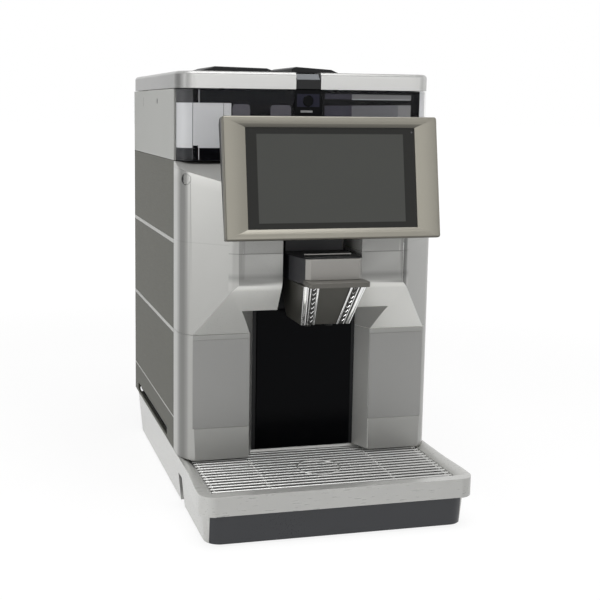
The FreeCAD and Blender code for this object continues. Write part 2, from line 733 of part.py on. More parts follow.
def make_power_pieces():
    inlet = Moulding("power_inlet")
    inlet.pad("front", rect(80.3, 107.7, 84.3, 107.7), rear - 26, rear - 0.5)
    inlet.chamfer(5, lambda e: runs(e, 1) and middle(e).z > 100)
    inlet.pocket("front", rect(83, 105, 87, 103), rear - 18, rear)
    for x, z in ((87.5, 93), (100.5, 93), (94, 98)):
        inlet.pad("front", rect(x - 1, x + 1, z - 2, z + 2), rear - 19, rear - 4)
    inlet.pad("front", rect(76, 112, 80, 112), rear - s.rear_thick - 3.4, rear - s.rear_thick - 0.4)
    switch = Moulding("power_switch")
    gap = s.slide_gap
    depth = s.rocker_height / 2 - gap
    axis = rear - 10
    wide = s.rocker_width / 2 - gap
    profile = [(axis - 6, 96 - 5), (axis + 4, 96 - depth + 1), (axis + 9.5, 96 - depth + 1.5),
               (axis + 6.5, 96), (axis + 7.5, 96 + depth - 1), (axis + 3, 96 + depth - 1), (axis - 6, 96 + 5)]
    switch.pad("side", profile, 40 - wide, 40 + wide)
    switch.pocket("side", Disc(axis, 96, 1.5 + s.fit_gap), 40 - wide - 1, 40 + wide + 1)
    frame = Moulding("switch_frame")
    frame_rear = rear - s.rear_thick - 0.4
    frame.pad("front", rect(40 - wide - 4, 40 + wide + 4, 96 - 19, 96 + 19), frame_rear - 20, frame_rear)
    frame.pocket("front", rect(39.4 - wide, 40.6 + wide, 96 - 16, 96 + 16), frame_rear - 17, frame_rear + 1)
    frame.pad("side", Disc(axis, 96, 1.5), 38.5 - wide, 41.5 + wide)


def make_fascia():
    fascia = Moulding("front_fascia")
    low, high = behind(1), behind(1) + s.skin
    fascia.pad("front", rect(-inner_half, inner_half, cover_foot, s.sill_height - 1), low, high)
    fascia.pocket("front", rect(-72, 48, 152, 400), low - 1, high + 1)
    fascia.pocket("front", rect(-72, 48, 70, 148), low - 1, high + 1)
    fascia.pocket("front", rect(62, inner_half - 13.2, 90, 140), low - 1, high + 1)
    fascia.round(5, lambda e: runs(e, 1) and e.Length < 5 and abs(middle(e).x) < number(inner_half - 8.2))
    for x in (-76, 50):
        fascia.pad("top", rect(x, x + 2, high - 1, high + 12), 72, 400)


def make_chassis():
    chassis = Moulding("chassis")
    start = behind(6)
    floor = rect(-inner_half + 4, inner_half - 4, start, cover_rear - 8)
    chassis.pad("top", floor, cover_foot, cover_foot + 3)
    chassis.pad("side", rect(behind(20), cover_rear - 8, cover_foot, s.sill_height - 6), 54, 57)
    chassis.pocket("side", rect(behind(60), cover_rear - 77.3, 300, 400), 53, 58)
    chassis.pad("front", rect(-inner_half + 4, 57, cover_foot, s.sill_height - 6), behind(172), behind(175))
    chassis.pad("top", rect(56, inner_half - 4, behind(58), cover_rear - 8), 146, 149)
    chassis.pad("front", rect(56, inner_half - 4, cover_foot, 149), behind(58), behind(61))
    shelf = rect(-inner_half + 4, 55, behind(20), behind(174))
    chassis.pad("top", shelf, 325, 328)
    chassis.pocket("top", rect(-46, 44, behind(10), behind(166)), 324, 329)
    chassis.pocket("top", Disc(-95, behind(110), 6), 324, 329)
    chassis.pocket("front", Disc(-20, 304, s.pipe_radius + 0.3), behind(171), behind(176))


# Hopper bay: shelf with its lip, windows, centre panel, deck
def bay_outline(inset, back):
    """Plan of the hopper bay just inside the windows, with round front corners."""
    edge = inner_half - inset
    line = window_front + s.window_thick + s.cover_gap + inset
    corner = window_corner - s.window_thick - s.cover_gap - inset
    return [(-edge, line, corner), (edge, line, corner), (edge, back), (-edge, back)]


def make_hopper_shelf():
    shelf = Moulding("hopper_shelf")
    shelf.pad("top", bay_outline(0, cover_rear), shelf_foot, shelf_top)
    lip_top = shelf_foot + s.sill_lip
    shelf.pad("top", bay_outline(0, window_rear - 0.2), shelf_top - 1, lip_top)
    shelf.pocket("top", bay_outline(s.skin, behind(30)), shelf_top, lip_top)
    shelf.pocket("top", rect(57, inner_half - 4, behind(60), cover_rear - 5.3), shelf_foot - 1, shelf_top + 1)
    shelf.pocket("top", Disc(-95, behind(110), 21), shelf_foot - 1, shelf_top + 1)
    shelf.pocket("top", rect(-20, 20, behind(30), behind(90)), shelf_foot - 1, shelf_top + 1)
    shelf.pocket("top", Disc(hinge_x, hinge_y, pin_bore), shelf_foot - 1, shelf_foot + 8)
    hollow = rect(-inner_half + 8, 48, behind(180), cover_rear - 12.3)
    shelf.pocket("top", hollow, shelf_foot + s.skin, shelf_top + 1)


def make_windows():
    for name, side in sides():
        window = Moulding(f"hopper_window_{name}")
        inner, outer = side * (s.lid_gap_half + 1.6), side * (half - 0.2)
        glass = s.window_thick
        corner = window_corner
        outline = [(inner, window_front), (outer, window_front, corner), (outer, window_rear),
                   (outer - side * glass, window_rear),
                   (outer - side * glass, window_front + glass, corner - glass),
                   (inner, window_front + glass)]
        window.pad("top", outline, shelf_foot, window_top)


def make_centre_panel():
    panel = Moulding("centre_panel")
    edge = s.lid_gap_half + 1.2
    plate = rect(-edge, edge, window_front + 0.2, window_front + s.window_thick)
    panel.pad("top", plate, shelf_foot, window_top)
    panel.pocket("front", rect(-edge - 1, edge + 1, 499.2, 501.2), window_front - 1, window_front + 1.4)
    lens = Disc(0, 512.5, 7)
    panel.pad("front", lens, window_front - 1, window_front + 1)
    panel.chamfer(0.8, lambda e: isinstance(e.Curve, Part.Circle) and near(middle(e).y, window_front - 1))


ear_places = (11.2 - inner_half, -34, 34, inner_half - 11.2)
flap_axis = behind(s.flap_rear) - 3
flap_foot = lid_top + 0.3
flap_pin = flap_foot + 3
flap_lugs = ((-8, 0), (22, 30))
lid_rear = rear - s.lid_inset
axis_y = lid_rear - s.lid_axis_inset
axis_z = s.lid_axis_height
ear_width = 8


def make_deck():
    deck = Moulding("top_deck")
    deck_foot = deck_top - s.deck_thick
    deck.pad("top", bay_outline(0, cover_rear), deck_foot, deck_top)
    deck.pad("top", bay_outline(0, window_rear - 0.2), 508, deck_foot + 1)
    deck.pocket("top", bay_outline(s.skin, window_rear), 500, deck_foot)
    deck.pocket("top", rect(6 - hopper_half, -28, behind(24), behind(162)), 500, deck_top + 1)
    deck.pocket("top", rect(64, tank_half - 3, behind(68), tank_rear - 4), 500, deck_top + 1)
    deck.pocket("top", rect(-12.6, 33.6, behind(13.9), behind(100.1)), 500, deck_top + 1)
    deck.round(6, lambda e: runs(e, 2) and e.Length < 8 and middle(e).y > number(behind(5))
               and abs(middle(e).x) < number(hopper_half) and not -20 < middle(e).x < 40)
    for x in ear_places:
        ear = rect(axis_y - s.lid_ear, axis_y + s.lid_ear, deck_top - 1, axis_z)
        low, high = x - ear_width / 2, x + ear_width / 2
        deck.pad("side", ear, low, high)
        deck.pad("side", Disc(axis_y, axis_z, s.lid_ear), low, high)
        deck.pocket("side", Disc(axis_y, axis_z, s.lid_pin + s.fit_gap), low - 1, high + 1)


def make_lid(name, side):
    """A lid: shell with round corners, a notched rear wall and two hinge lugs."""
    lid = Moulding(f"{name}_lid")
    inner, outer = side * (s.lid_gap_half + 0.4), side * half
    lid_front, lid_back = ahead(s.lid_reach), lid_rear
    foot, skin = s.lid_level + 0.3, s.skin
    outline = [(inner, lid_front), (outer, lid_front, s.lid_radius), (outer, lid_back, 4), (inner, lid_back)]
    lid.pad("top", outline, foot, lid_top)
    lid.round(s.lid_round, lambda e: near(e.BoundBox.ZMin, lid_top) and near(e.BoundBox.ZMax, lid_top)
              and not (isinstance(e.Curve, Part.Line) and near(middle(e).x, inner)))
    hollow = [(inner + side * skin, lid_front + skin),
              (outer - side * skin, lid_front + skin, s.lid_radius - skin),
              (outer - side * skin, lid_back - skin), (inner + side * skin, lid_back - skin)]
    lid.pocket("top", hollow, foot - 1, lid_top - skin)
    for x in ear_places:
        if number(x) * side < 0:
            continue
        notch = rect(x - ear_width / 2 - 0.6, x + ear_width / 2 + 0.6, lid_back - skin - 1, lid_back + 1)
        lid.pocket("top", notch, foot - 1, axis_z + s.lid_ear + 0.6)
        lug = x - side * (ear_width / 2 + 0.5)
        low, high = (lug - 5, lug) if side > 0 else (lug, lug + 5)
        if abs(number(x)) < 100:
            lug = x + side * (ear_width / 2 + 0.5)
            low, high = (lug, lug + 5) if side > 0 else (lug - 5, lug)
        lid.pad("side", rect(axis_y - 3.2, axis_y + 3.2, axis_z, lid_top - skin + 1), low, high)
        lid.pad("side", Disc(axis_y, axis_z, 3.2), low, high)
        lid.pocket("side", Disc(axis_y, axis_z, s.lid_pin + s.fit_gap), low - 1, high + 1)
    return lid


def make_lids():
    make_lid("left", -1)
    right = make_lid("right", 1)
    window = rect(s.lid_gap_half - 1, s.flap_right + 1, behind(s.flap_front) - 1, behind(s.flap_rear) + 2.5)
    right.pocket("top", window, s.lid_level - 1, lid_top + 1)
    pins = []
    for x in ear_places:
        side = 1 if number(x) > 0 else -1
        toward = -side if abs(number(x)) > 100 else side
        reach = (x - toward * (ear_width / 2 - 1), x + toward * (ear_width / 2 + 5))
        low, high = sorted(reach, key=number)
        pins.append(bar(f"lid_pin_{len(pins)}", "x", (axis_y, axis_z), s.lid_pin, low, high))
    pins.append(bar("flap_pin", "x", (flap_axis, flap_pin), 1, -12, 38))
    keep(group("lid_hinge_pins", *pins))


def make_lid_insert():
    """Raised black cover on the left lid."""
    insert = Moulding("lid_insert")
    foot = lid_top + 0.05
    profile = [(-137, foot), (-19, foot), (-19, foot + 2.6), (-37, foot + 3), (-44, foot + 5.5),
               (-112, foot + 7), (-118, foot + 5)]
    insert.pad("front", profile, behind(12), behind(118))
    insert.round(9, lambda e: runs(e, 2, 3) and abs(middle(e).x + 17) < 3)


def make_bridge():
    """Strip between the lids, with the sloping nose that ends it at the front."""
    bridge = Moulding("centre_bridge")
    edge = s.lid_gap_half - 0.4
    foot, top = s.lid_level + 0.3, lid_top - 1.6
    nose = ahead(s.lid_reach - 0.5)
    profile = [(nose, foot), (lid_rear, foot), (lid_rear, top), (nose + 8, top), (nose, top - 7)]
    bridge.pad("side", profile, -edge, edge)
    bridge.pocket("top", rect(3 - edge, edge + 1, behind(14), behind(114)), foot - 1, top + 1)
    bridge.pocket("top", rect(3 - edge, edge - 3, behind(118), lid_rear - 8), foot - 1, top - s.skin)
    chute = Moulding("coffee_chute")
    outer = rect(3.5 - edge, 33, behind(14.5), behind(99.5))
    chute.pad("top", outer, shelf_top + 0.4, top)
    chute.pocket("top", rect(6 - edge, 30.5, behind(17), behind(97)), shelf_top + 10, top + 1)
    chute.pocket("top", rect(6 - edge, 20, behind(32), behind(88)), shelf_top, shelf_top + 11)
    for low, high in flap_lugs:
        chute.pad("top", rect(low + 0.5, high - 0.5, behind(99), flap_axis + 2.2), top - 8, top)
        knuckle = rect(low + 0.5, high - 0.5, flap_axis - 2.2, flap_axis + 2.2)
        chute.pad("top", knuckle, top - 1, flap_pin + 2.2)
        chute.pocket("side", Disc(flap_axis, flap_pin, 1.05), low, high)


def make_flap():
    """Flap over the chute for ground coffee; its front left corner is the highest."""
    flap = Moulding("chute_flap")
    foot = flap_foot
    left, peak = -s.flap_left, foot + s.flap_thick - 0.6
    profile = [(left, foot), (s.flap_right, foot), (s.flap_right - 4, foot + 1.5), (39, foot + 4.5),
               (left + 6, peak), (left, peak - 2.4)]
    flap.pad("front", profile, behind(s.flap_front), behind(s.flap_rear))
    hollow = [(-12, foot - 1), (36, foot - 1), (36, foot + 2), (-8, foot + 4.4), (-12, foot + 3)]
    flap.pocket("front", hollow, behind(s.flap_front + 3), behind(s.flap_rear - 9))
    for low, high in flap_lugs:
        flap.pocket("top", rect(low, high, flap_axis - 4, flap_axis + 4), foot - 1, foot + 9)
    flap.pocket("side", Disc(flap_axis, flap_pin, 1.05), -15, 39)


# Working pieces inside
floor_top = cover_foot + 3


def make_hopper_and_tank():
    hopper = Moulding("bean_hopper")
    low, high = shelf_top + 0.4, deck_top - 6
    plan = [(-hopper_half, behind(6)), (-97, behind(6)), (-97, behind(34)), (-22, behind(34)),
            (-22, behind(165)), (-hopper_half, behind(165))]
    hopper.pad("top", plan, low, high)
    throat = Disc(-95, behind(110), 20.5)
    hopper.pad("top", throat, shelf_foot - 3, low + 1)
    wall = 2.5
    hopper.pocket("top", rect(wall - hopper_half, -24.5, behind(36.5), behind(162.5)), low + 2, high + 1)
    foot, brim = low + 1, high - 14
    for start, lip in ((behind(36), behind(95)), (behind(163), behind(125))):
        hopper.pad("side", [(start, foot), (lip, foot), (lip, low + 2), (start, brim)], 2 - hopper_half, -24)
    for start, lip in ((2 - hopper_half, -110), (-24, -80)):
        slope = [(start, foot), (lip, foot), (lip, low + 2), (start, brim)]
        hopper.pad("front", slope, behind(36), behind(163))
    hopper.pocket("top", rect(wall - hopper_half, -99.5, behind(8.5), behind(37)), high - 40, high + 1)
    hopper.pocket("top", Disc(-95, behind(110), 15), shelf_foot - 4, low + 3)
    tank = Moulding("water_tank")
    plan = [(60, behind(64)), (tank_half, behind(64)), (tank_half, tank_rear), (60, tank_rear)]
    tank.pad("top", [corner + (8,) for corner in plan], 149.4, 515)
    inner = [(60 + wall, behind(64) + wall), (tank_half - wall, behind(64) + wall),
             (tank_half - wall, tank_rear - wall), (60 + wall, tank_rear - wall)]
    tank.pocket("top", [corner + (5.5,) for corner in inner], 152, 516)


def make_brewing():
    brew_x, brew_y = -6, 66
    unit = Moulding("brew_unit")
    unit.pad("top", rect(brew_x - 40, brew_x + 40, behind(12), behind(171.6)), 152, 318)
    unit.pocket("top", Disc(brew_x, behind(brew_y), 24), 200, 319)
    for side in (-1, 1):
        low, high = sorted((brew_x + side * 30, brew_x + side * 41))
        unit.pocket("top", rect(low, high, behind(100), behind(160)), 160, 300)
    unit.round(6, lambda e: runs(e, 2) and near(middle(e).y, behind(12)))
    piston = Moulding("brew_piston")
    piston.pad("top", Disc(brew_x, behind(brew_y), 24 - s.fit_gap), 270, 290)
    piston.pad("top", Disc(brew_x, behind(brew_y), 8), 289, 345)
    piston.chamfer(1.5, lambda e: isinstance(e.Curve, Part.Circle) and near(middle(e).z, 345))
    bin = Moulding("grounds_container")
    plan = [(-68, behind(7)), (44, behind(7)), (44, behind(150)), (-68, behind(150))]
    bin.pad("top", [corner + (6,) for corner in plan], floor_top + 0.3, 146)
    inner = [(-65.5, behind(9.5)), (41.5, behind(9.5)), (41.5, behind(147.5)), (-65.5, behind(147.5))]
    bin.pocket("top", [corner + (3.5,) for corner in inner], floor_top + 2.8, 147)


def make_grinder():
    x, y = -95, behind(110)
    housing = Moulding("grinder_housing")
    housing.pad("top", Disc(x, y, s.grinder_radius), 328.3, shelf_foot - 3.4)
    housing.pocket("top", Disc(x, y, s.burr_radius + 2), 392, shelf_foot)
    housing.pocket("top", Disc(x, y, 12), 327, 393)
    rotor = Moulding("grinder_rotor")
    rotor.pad("top", Disc(x, y, s.burr_radius), 394, 412)
    rotor.pad("top", Disc(x, y, 8), 411, 424)
    rotor.pad("top", Disc(x, y, 4), 306, 395)
    for low, high in ((-24, -10), (10, 24)):
        rotor.pocket("top", rect(x + low, x + high, y - 1.5, y + 1.5), 409, 413)
        rotor.pocket("top", rect(x - 1.5, x + 1.5, y + low, y + high), 409, 413)
    motor = Moulding("grinder_motor")
    motor.pad("top", Disc(x, y, s.motor_radius), 250, 324.7)
    motor.pocket("top", Disc(x, y, 4 + s.fit_gap), 305, 325)
    motor.pad("top", Disc(x, y, 14), 244, 251)
    for side in (-1, 1):
        low, high = sorted((x + side * 22, x + side * 34))
        motor.pocket("top", rect(low, high, y - 5, y + 5), 262, 300)


def make_water_pieces():
    boiler_x, boiler_y = -90, behind(175.3) + s.boiler_radius
    boiler = Moulding("boiler")
    boiler.pad("top", Disc(boiler_x, boiler_y, s.boiler_radius), 180, 280)
    boiler.pad("top", Disc(boiler_x, boiler_y, 6), 279, 288)
    for low in (200, 250):
        boiler.pad("top", rect(boiler_x - 42, boiler_x + 42, behind(175.3), behind(178.3)), low, low + 12)
    radius, level = s.pipe_radius, 304
    pipe_rear, pipe_front, pipe_x = boiler_y, behind(171.8), -20
    rise = bar("pipe_rise", "z", (boiler_x, pipe_rear), radius, 288.3, level)
    across = bar("pipe_across", "x", (pipe_rear, level), radius, boiler_x, pipe_x)
    along = bar("pipe_along", "y", (pipe_x, level), radius, pipe_front, pipe_rear)
    elbows = []
    for name, place in (("first", boiler_x), ("second", pipe_x)):
        reach = radius + 1.5
        elbows.append(block(f"pipe_elbow_{name}", (place - reach, place + reach),
                            (pipe_rear - reach, pipe_rear + reach), (level - reach, level + reach)))
    keep(joined("boiler_pipe", rise, across, along, *elbows))
    pump_z = floor_top + 0.3 + s.pump_radius
    coil = bar("pump_coil", "y", (105, pump_z), s.pump_radius, behind(100), behind(160))
    nose = bar("pump_nose", "y", (105, pump_z), 11, behind(80), behind(200))
    foot = block("pump_foot", (85, 125), (behind(104), behind(156)), (floor_top + 0.3, pump_z))
    keep(joined("pump", coil, nose, foot))


def make_board():
    board = block("board_plate", (-46, 50), (behind(180), behind(181.6)), (180, 290))
    stands, chips = [], []
    for x in (-42, 46):
        for z in (184, 286):
            stands.append(bar(f"board_stand_{len(stands)}", "y", (x, z), 2.5, behind(175.3), behind(180.5)))
    sockets = ((-30, 200, 26, 20, 9), (8, 205, 22, 22, 3), (-26, 245, 16, 30, 14), (14, 250, 24, 16, 12))
    for x, z, wide, high, deep in sockets:
        depth = (behind(181), behind(181.6 + deep))
        chips.append(block(f"board_chip_{len(chips)}", (x, x + wide), depth, (z, z + high)))
    keep(joined("control_board", board, *stands, *chips))


# Door: frame, columns, head, liner
frame_front = ahead(0.5 + s.frame_thick)
column_front = ahead(s.column_depth)
liner_front = ahead(s.liner_depth)
head_front = ahead(s.head_depth)
column_top = s.split_height - 0.2
head_foot = s.split_height + 0.2
swing_round = s.hinge_inset - s.swing_gap
slot_foot = s.carriage_low - s.spout_travel - 0.3
slot_top = 344.3
barrel_front = hinge_y - s.hinge_barrel - 0.4
barrel_room = rect(hinge_x - s.hinge_barrel - 0.4, half - s.skin, barrel_front, door_back + 1)


def blend(start, corner, end, steps=4):
    """Points of a smooth bend from start to end that turns at the corner."""
    points = []
    for index in range(steps + 1):
        t = index / steps
        weights = ((1 - t) ** 2, 2 * t * (1 - t), t ** 2)
        mixed = [sum(w * dim(p[axis]) for w, p in zip(weights, (start, corner, end))) for axis in (0, 1)]
        points.append(tuple(mixed))
    return points


def make_door_frame():
    frame = Moulding("door_frame")
    foot, top = door_foot + 0.3, door_top - 0.3
    edge = inner_half - 0.4
    frame.pad("front", rect(-edge, hinge_x, foot + s.skin, top), frame_front, door_back)
    frame.pad("top", rect(hinge_x - s.hinge_barrel, hinge_x, hinge_y, door_back), foot, top)
    frame.pad("top", Disc(hinge_x, hinge_y, s.hinge_barrel), foot, top)
    frame.pocket("top", Disc(hinge_x, hinge_y, pin_bore), foot - 1, foot + 16)
    frame.pocket("top", Disc(hinge_x, hinge_y, pin_bore), top - 14, top + 1)
    frame.pocket("front", rect(-50, 50, 90, 190), frame_front - 1, door_back + 1)
    lower = bar("hinge_pin_lower", "z", (hinge_x, hinge_y), s.hinge_pin, s.base_height - 13.9, foot + 15.8)
    upper = bar("hinge_pin_upper", "z", (hinge_x, hinge_y), s.hinge_pin, top - 13.8, shelf_foot + 7.9)
    keep(group("door_hinge_pins", lower, upper))


# Sloping strip between the side and the front: its slope, where it ends, the line of the unrounded corner
crease = half - s.facet_inset
facet_slope = (s.head_depth - s.column_depth) / (crease - s.head_half)
side_line = column_front + s.facet_inset * facet_slope
inner_corner = side_line + s.strip_radius * 0.36


def strip_edge(edge):
    """The upright edge between the side and the sloping strip."""
    point = middle(edge)
    return runs(edge, 2) and near(abs(point.x), half) and near(point.y, side_line)


def make_columns():
    for name, side in sides():
        column = Moulding(f"column_{name}")
        inner, cavity, skin = s.column_inner, s.cavity_half, s.skin
        back = (half, door_back, swing_round) if side > 0 else (-half, door_back)
        outline = [(side * inner, column_front), (side * crease, column_front), (side * half, side_line),
                   back, (side * cavity, door_back), (side * cavity, liner_front)]
        column.pad("top", outline, door_foot, column_top)
        column.round(s.strip_radius, strip_edge)
        low_line, high_line = column_front - s.flare, column_front - s.flare / 2
        flare = [(side * (inner + 0.5), low_line), (side * (crease - s.flare / facet_slope), low_line),
                 (side * (crease + 2), column_front + 2 * facet_slope),
                 (side * (inner + 0.5), column_front + 6)]
        column.pad("top", flare, door_foot, s.panel_low)
        slant = [(low_line - 1, door_foot), (low_line, door_foot), (high_line, s.panel_low),
                 (low_line - 1, s.panel_low)]
        column.pocket("side", slant, *span(side, inner, half))
        walls = [(side * (inner + 4), column_front + skin), (side * (crease - 2.5), column_front + skin),
                 (side * (half - skin), inner_corner), (side * (half - skin), door_back + 1),
                 (side * (cavity + skin), door_back + 1), (side * (cavity + skin), liner_front + 1)]
        column.pocket("top", walls, door_foot + skin, column_top - skin)
        seat = span(side, cavity - 1, half - s.side_thick + 0.2)
        column.pocket("top", rect(*seat, frame_front - 0.4, door_back + 1), door_foot - 1, column_top + 1)
        if side > 0:
            column.pocket("top", barrel_room, door_foot - 1, column_top + 1)
    plates = []
    for name, side in sides():
        width = span(side, s.column_inner + 0.5, crease - 0.3)
        depth = (column_front - s.panel_thick, column_front - 0.02)
        plates.append(block(f"column_plate_{name}", width, depth, (s.panel_low + 0.2, s.panel_high - 0.1)))
    keep(group("column_panels", *plates))


def make_head():
    head = Moulding("door_head")
    outline = [(-half, side_line), (-s.head_half, head_front), (s.head_half, head_front), (half, side_line),
               (half, door_back, swing_round), (-half, door_back)]
    head.pad("top", outline, head_foot, door_top)
    head.round(s.strip_radius, strip_edge)
    head.round(s.ridge_round, lambda e: runs(e, 2) and near(abs(middle(e).x), s.head_half)
               and near(middle(e).y, head_front))
    rise = s.ramp_top - s.split_height
    run = s.head_depth - s.column_depth
    bend = s.ramp_round * 0.45
    start = (head_front + bend * 0.55, s.ramp_top - bend * 0.55 * rise / run)
    ramp = [(column_front, s.split_height - 2), (column_front, s.split_height)]
    ramp += blend(start, (head_front, s.ramp_top), (head_front, s.ramp_top + bend))
    ramp += [(head_front - 5, s.ramp_top + bend), (head_front - 5, s.split_height - 2)]
    head.pocket("side", ramp, -half - 1, half + 1)
    peak = ahead(s.shoulder_start)
    edge_height = s.sill_height - s.shoulder_slope * (s.head_depth - s.shoulder_start)
    shoulder = [(peak, s.sill_height)]
    shoulder += blend((head_front + 10, edge_height + s.shoulder_slope * 10), (head_front, edge_height),
                      (head_front, edge_height - 9))
    shoulder += [(head_front - 5, edge_height - 9), (head_front - 5, s.sill_height + 3),
                 (peak, s.sill_height + 3)]
    head.pocket("side", shoulder, -half - 1, half + 1)
    cut_front = ahead(s.cup_cut_depth)
    low, share = head_foot - 2, (s.cup_cut_depth - s.column_depth) / s.column_depth
    high_half = s.cavity_half + s.cup_flare_high
    low_half = s.column_inner + s.cup_flare_low
    mouth = [(-low_half, low), (low_half, low), (high_half, s.cup_top_front), (-high_half, s.cup_top_front)]
    throat = [(-s.cavity_half, low), (s.cavity_half, low), (s.cavity_half, s.cup_top_rear),
              (-s.cavity_half, s.cup_top_rear)]
    head.loft("front", [(cut_front, mouth), (liner_front, throat)], cut=True)
    half_channel = s.channel_width / 2
    channel = rect(-half_channel, half_channel, head_front - 5, liner_front + 1)
    head.pocket("top", channel, head_foot - 1, s.channel_top)
    back = rect(-s.cavity_half - 0.3, s.cavity_half + 0.3, liner_front - 0.3, door_back + 1)
    head.pocket("top", back, head_foot - 1, s.channel_top + 4)
    rebate = rect(-inner_half, half - s.side_thick, frame_front - 0.4, door_back + 1)
    head.pocket("top", rebate, head_foot - 1, door_top + 1)
    skin = s.skin
    for side in (-1, 1):
        hollow = [(side * 116, column_front + skin), (side * (crease - 2.5), column_front + skin),
                  (side * (half - skin), inner_corner), (side * (half - skin), door_back),
                  (side * 116, door_back)]
        head.pocket("top", hollow, head_foot + skin, 404)
        low_x, high_x = span(side, 116, crease - 7.5)
        head.pocket("top", rect(low_x, high_x, column_front + skin, door_back), 403, 418)
        low_x, high_x = span(side, 73, 117)
        head.pocket("top", rect(low_x, high_x, column_front - 12, door_back), 266, 408)
    head.pocket("top", rect(-74, 74, column_front - 12, door_back), s.channel_top + 3, 402)
    head.pocket("top", barrel_room, head_foot - 1, door_top + 1)
    lock_y = ahead(s.lock_front)
    head.pocket("side", Disc(lock_y, s.lock_height, s.lock_radius + s.fit_gap), -half - 1, 18 - half)
    seam = rect(-half, half, 329.6, 330.3)
    head.pocket("front", seam, head_front - 1, head_front + 0.5)
    lock = Moulding("lock_cylinder")
    lock.pad("side", Disc(lock_y, s.lock_height, s.lock_radius), 0.8 - half, 17.5 - half)
    key = rect(lock_y - 0.8, lock_y + 0.8, s.lock_height - 3.5, s.lock_height + 3.5)
    lock.pocket("side", key, -half, 8 - half)


def make_liner():
    liner = Moulding("cavity_liner")
    liner_half = s.cavity_half - 0.3
    liner_back = liner_front + s.skin
    liner.pad("front", rect(-liner_half, liner_half, door_foot, s.channel_top + 3.4), liner_front, liner_back)
    for side in (-1, 1):
        low, high = span(side, liner_half - s.skin, liner_half)
        liner.pad("top", rect(low, high, liner_back - 1, frame_front - 0.3), door_foot, s.channel_top + 3.4)
    slot = rect(-s.slide_slot / 2, s.slide_slot / 2, slot_foot, slot_top)
    liner.pocket("front", slot, liner_front - 1, liner_back + 1)
    panel = Moulding("gloss_panel")
    panel_front = liner_front - 1.6
    panel.pad("front", rect(-64, 64, door_foot + 0.8, s.cup_top_rear - 0.6), panel_front, liner_front - 0.05)
    panel.pocket("front", slot, panel_front - 1, liner_front + 1)
    panel.chamfer(0.8, lambda e: near(middle(e).y, panel_front) and (e.Length > 100 or abs(middle(e).x) > 60))


# Display: bodies in their own frame, standing on the lower front edge
def lean(body):
    """Leans a display body back about its lower front edge."""
    body.Placement = FreeCAD.Placement(
        FreeCAD.Vector(0, 0, 0), FreeCAD.Rotation(FreeCAD.Vector(-1, 0, 0), s.display_tilt.number))
    body.setExpression("Placement.Rotation.Angle", f"{s.display_tilt.text} * 1deg")
    body.setExpression("Placement.Base.y", ahead(s.display_reach).text)
    body.setExpression("Placement.Base.z", s.display_foot.text)


def leaned(depth, height):
    """World place of a point of the display's side profile."""
    tilt = s.display_tilt
    return (ahead(s.display_reach) + depth * tilt.cos() + height * tilt.sin(),
            s.display_foot - depth * tilt.sin() + height * tilt.cos())


def make_display():
    bezel = Moulding("display_bezel")
    wide, tall, thick = s.display_width / 2, s.display_height, s.bezel_thick
    bezel.pad("front", [(-wide, dim(0), 3), (wide, dim(0), 3), (wide, tall, 3), (-wide, tall, 3)], 0, thick)
    inner_half_width = wide - s.bezel_side
    outer = rect(2.2 - wide, wide - 2.2, 2.2, tall - 2.2)
    inner = rect(-inner_half_width, inner_half_width, s.bezel_band, tall - s.bezel_band)
    bezel.loft("front", [(-0.01, outer), (s.bezel_thick / 2, inner)], cut=True)
    bezel.pocket("front", inner, 0, thick + 1)
    lean(bezel.body)
    glass = Moulding("display_glass")
    gap = s.slide_gap
    pane = rect(gap - inner_half_width, inner_half_width - gap, s.bezel_band + gap, tall - s.bezel_band - gap)
    glass.pad("front", pane, thick - s.glass_thick - 1, thick - 0.05)
    lean(glass.body)
    back = Moulding("display_back")
    low, high = thick + s.shell_low, thick + s.shell_high + 2
    profile = [(thick + 0.05, 0.4), (thick + 0.05, tall - 0.4), (high - 4, tall - 0.8), (high, tall - 6),
               (low, 4), (low - 3, 0.4)]
    back.pad("side", profile, 0.5 - wide, wide - 0.5)
    back.chamfer(5, lambda e: abs(abs(middle(e).x) - number(wide) + 0.5) < 0.2 and middle(e).y > number(low))
    lean(back.body)
    bracket = Moulding("display_bracket")
    slope = (high - low) / (tall - 10)
    places = [leaned(low + slope * (height - 4) + 0.3, dim(height)) for height in (28, 62)]
    profile = [(head_front - 0.2, places[0][1]), places[0], places[1], (head_front - 0.2, places[1][1])]
    bracket.pad("side", profile, -s.bracket_width / 2, s.bracket_width / 2)


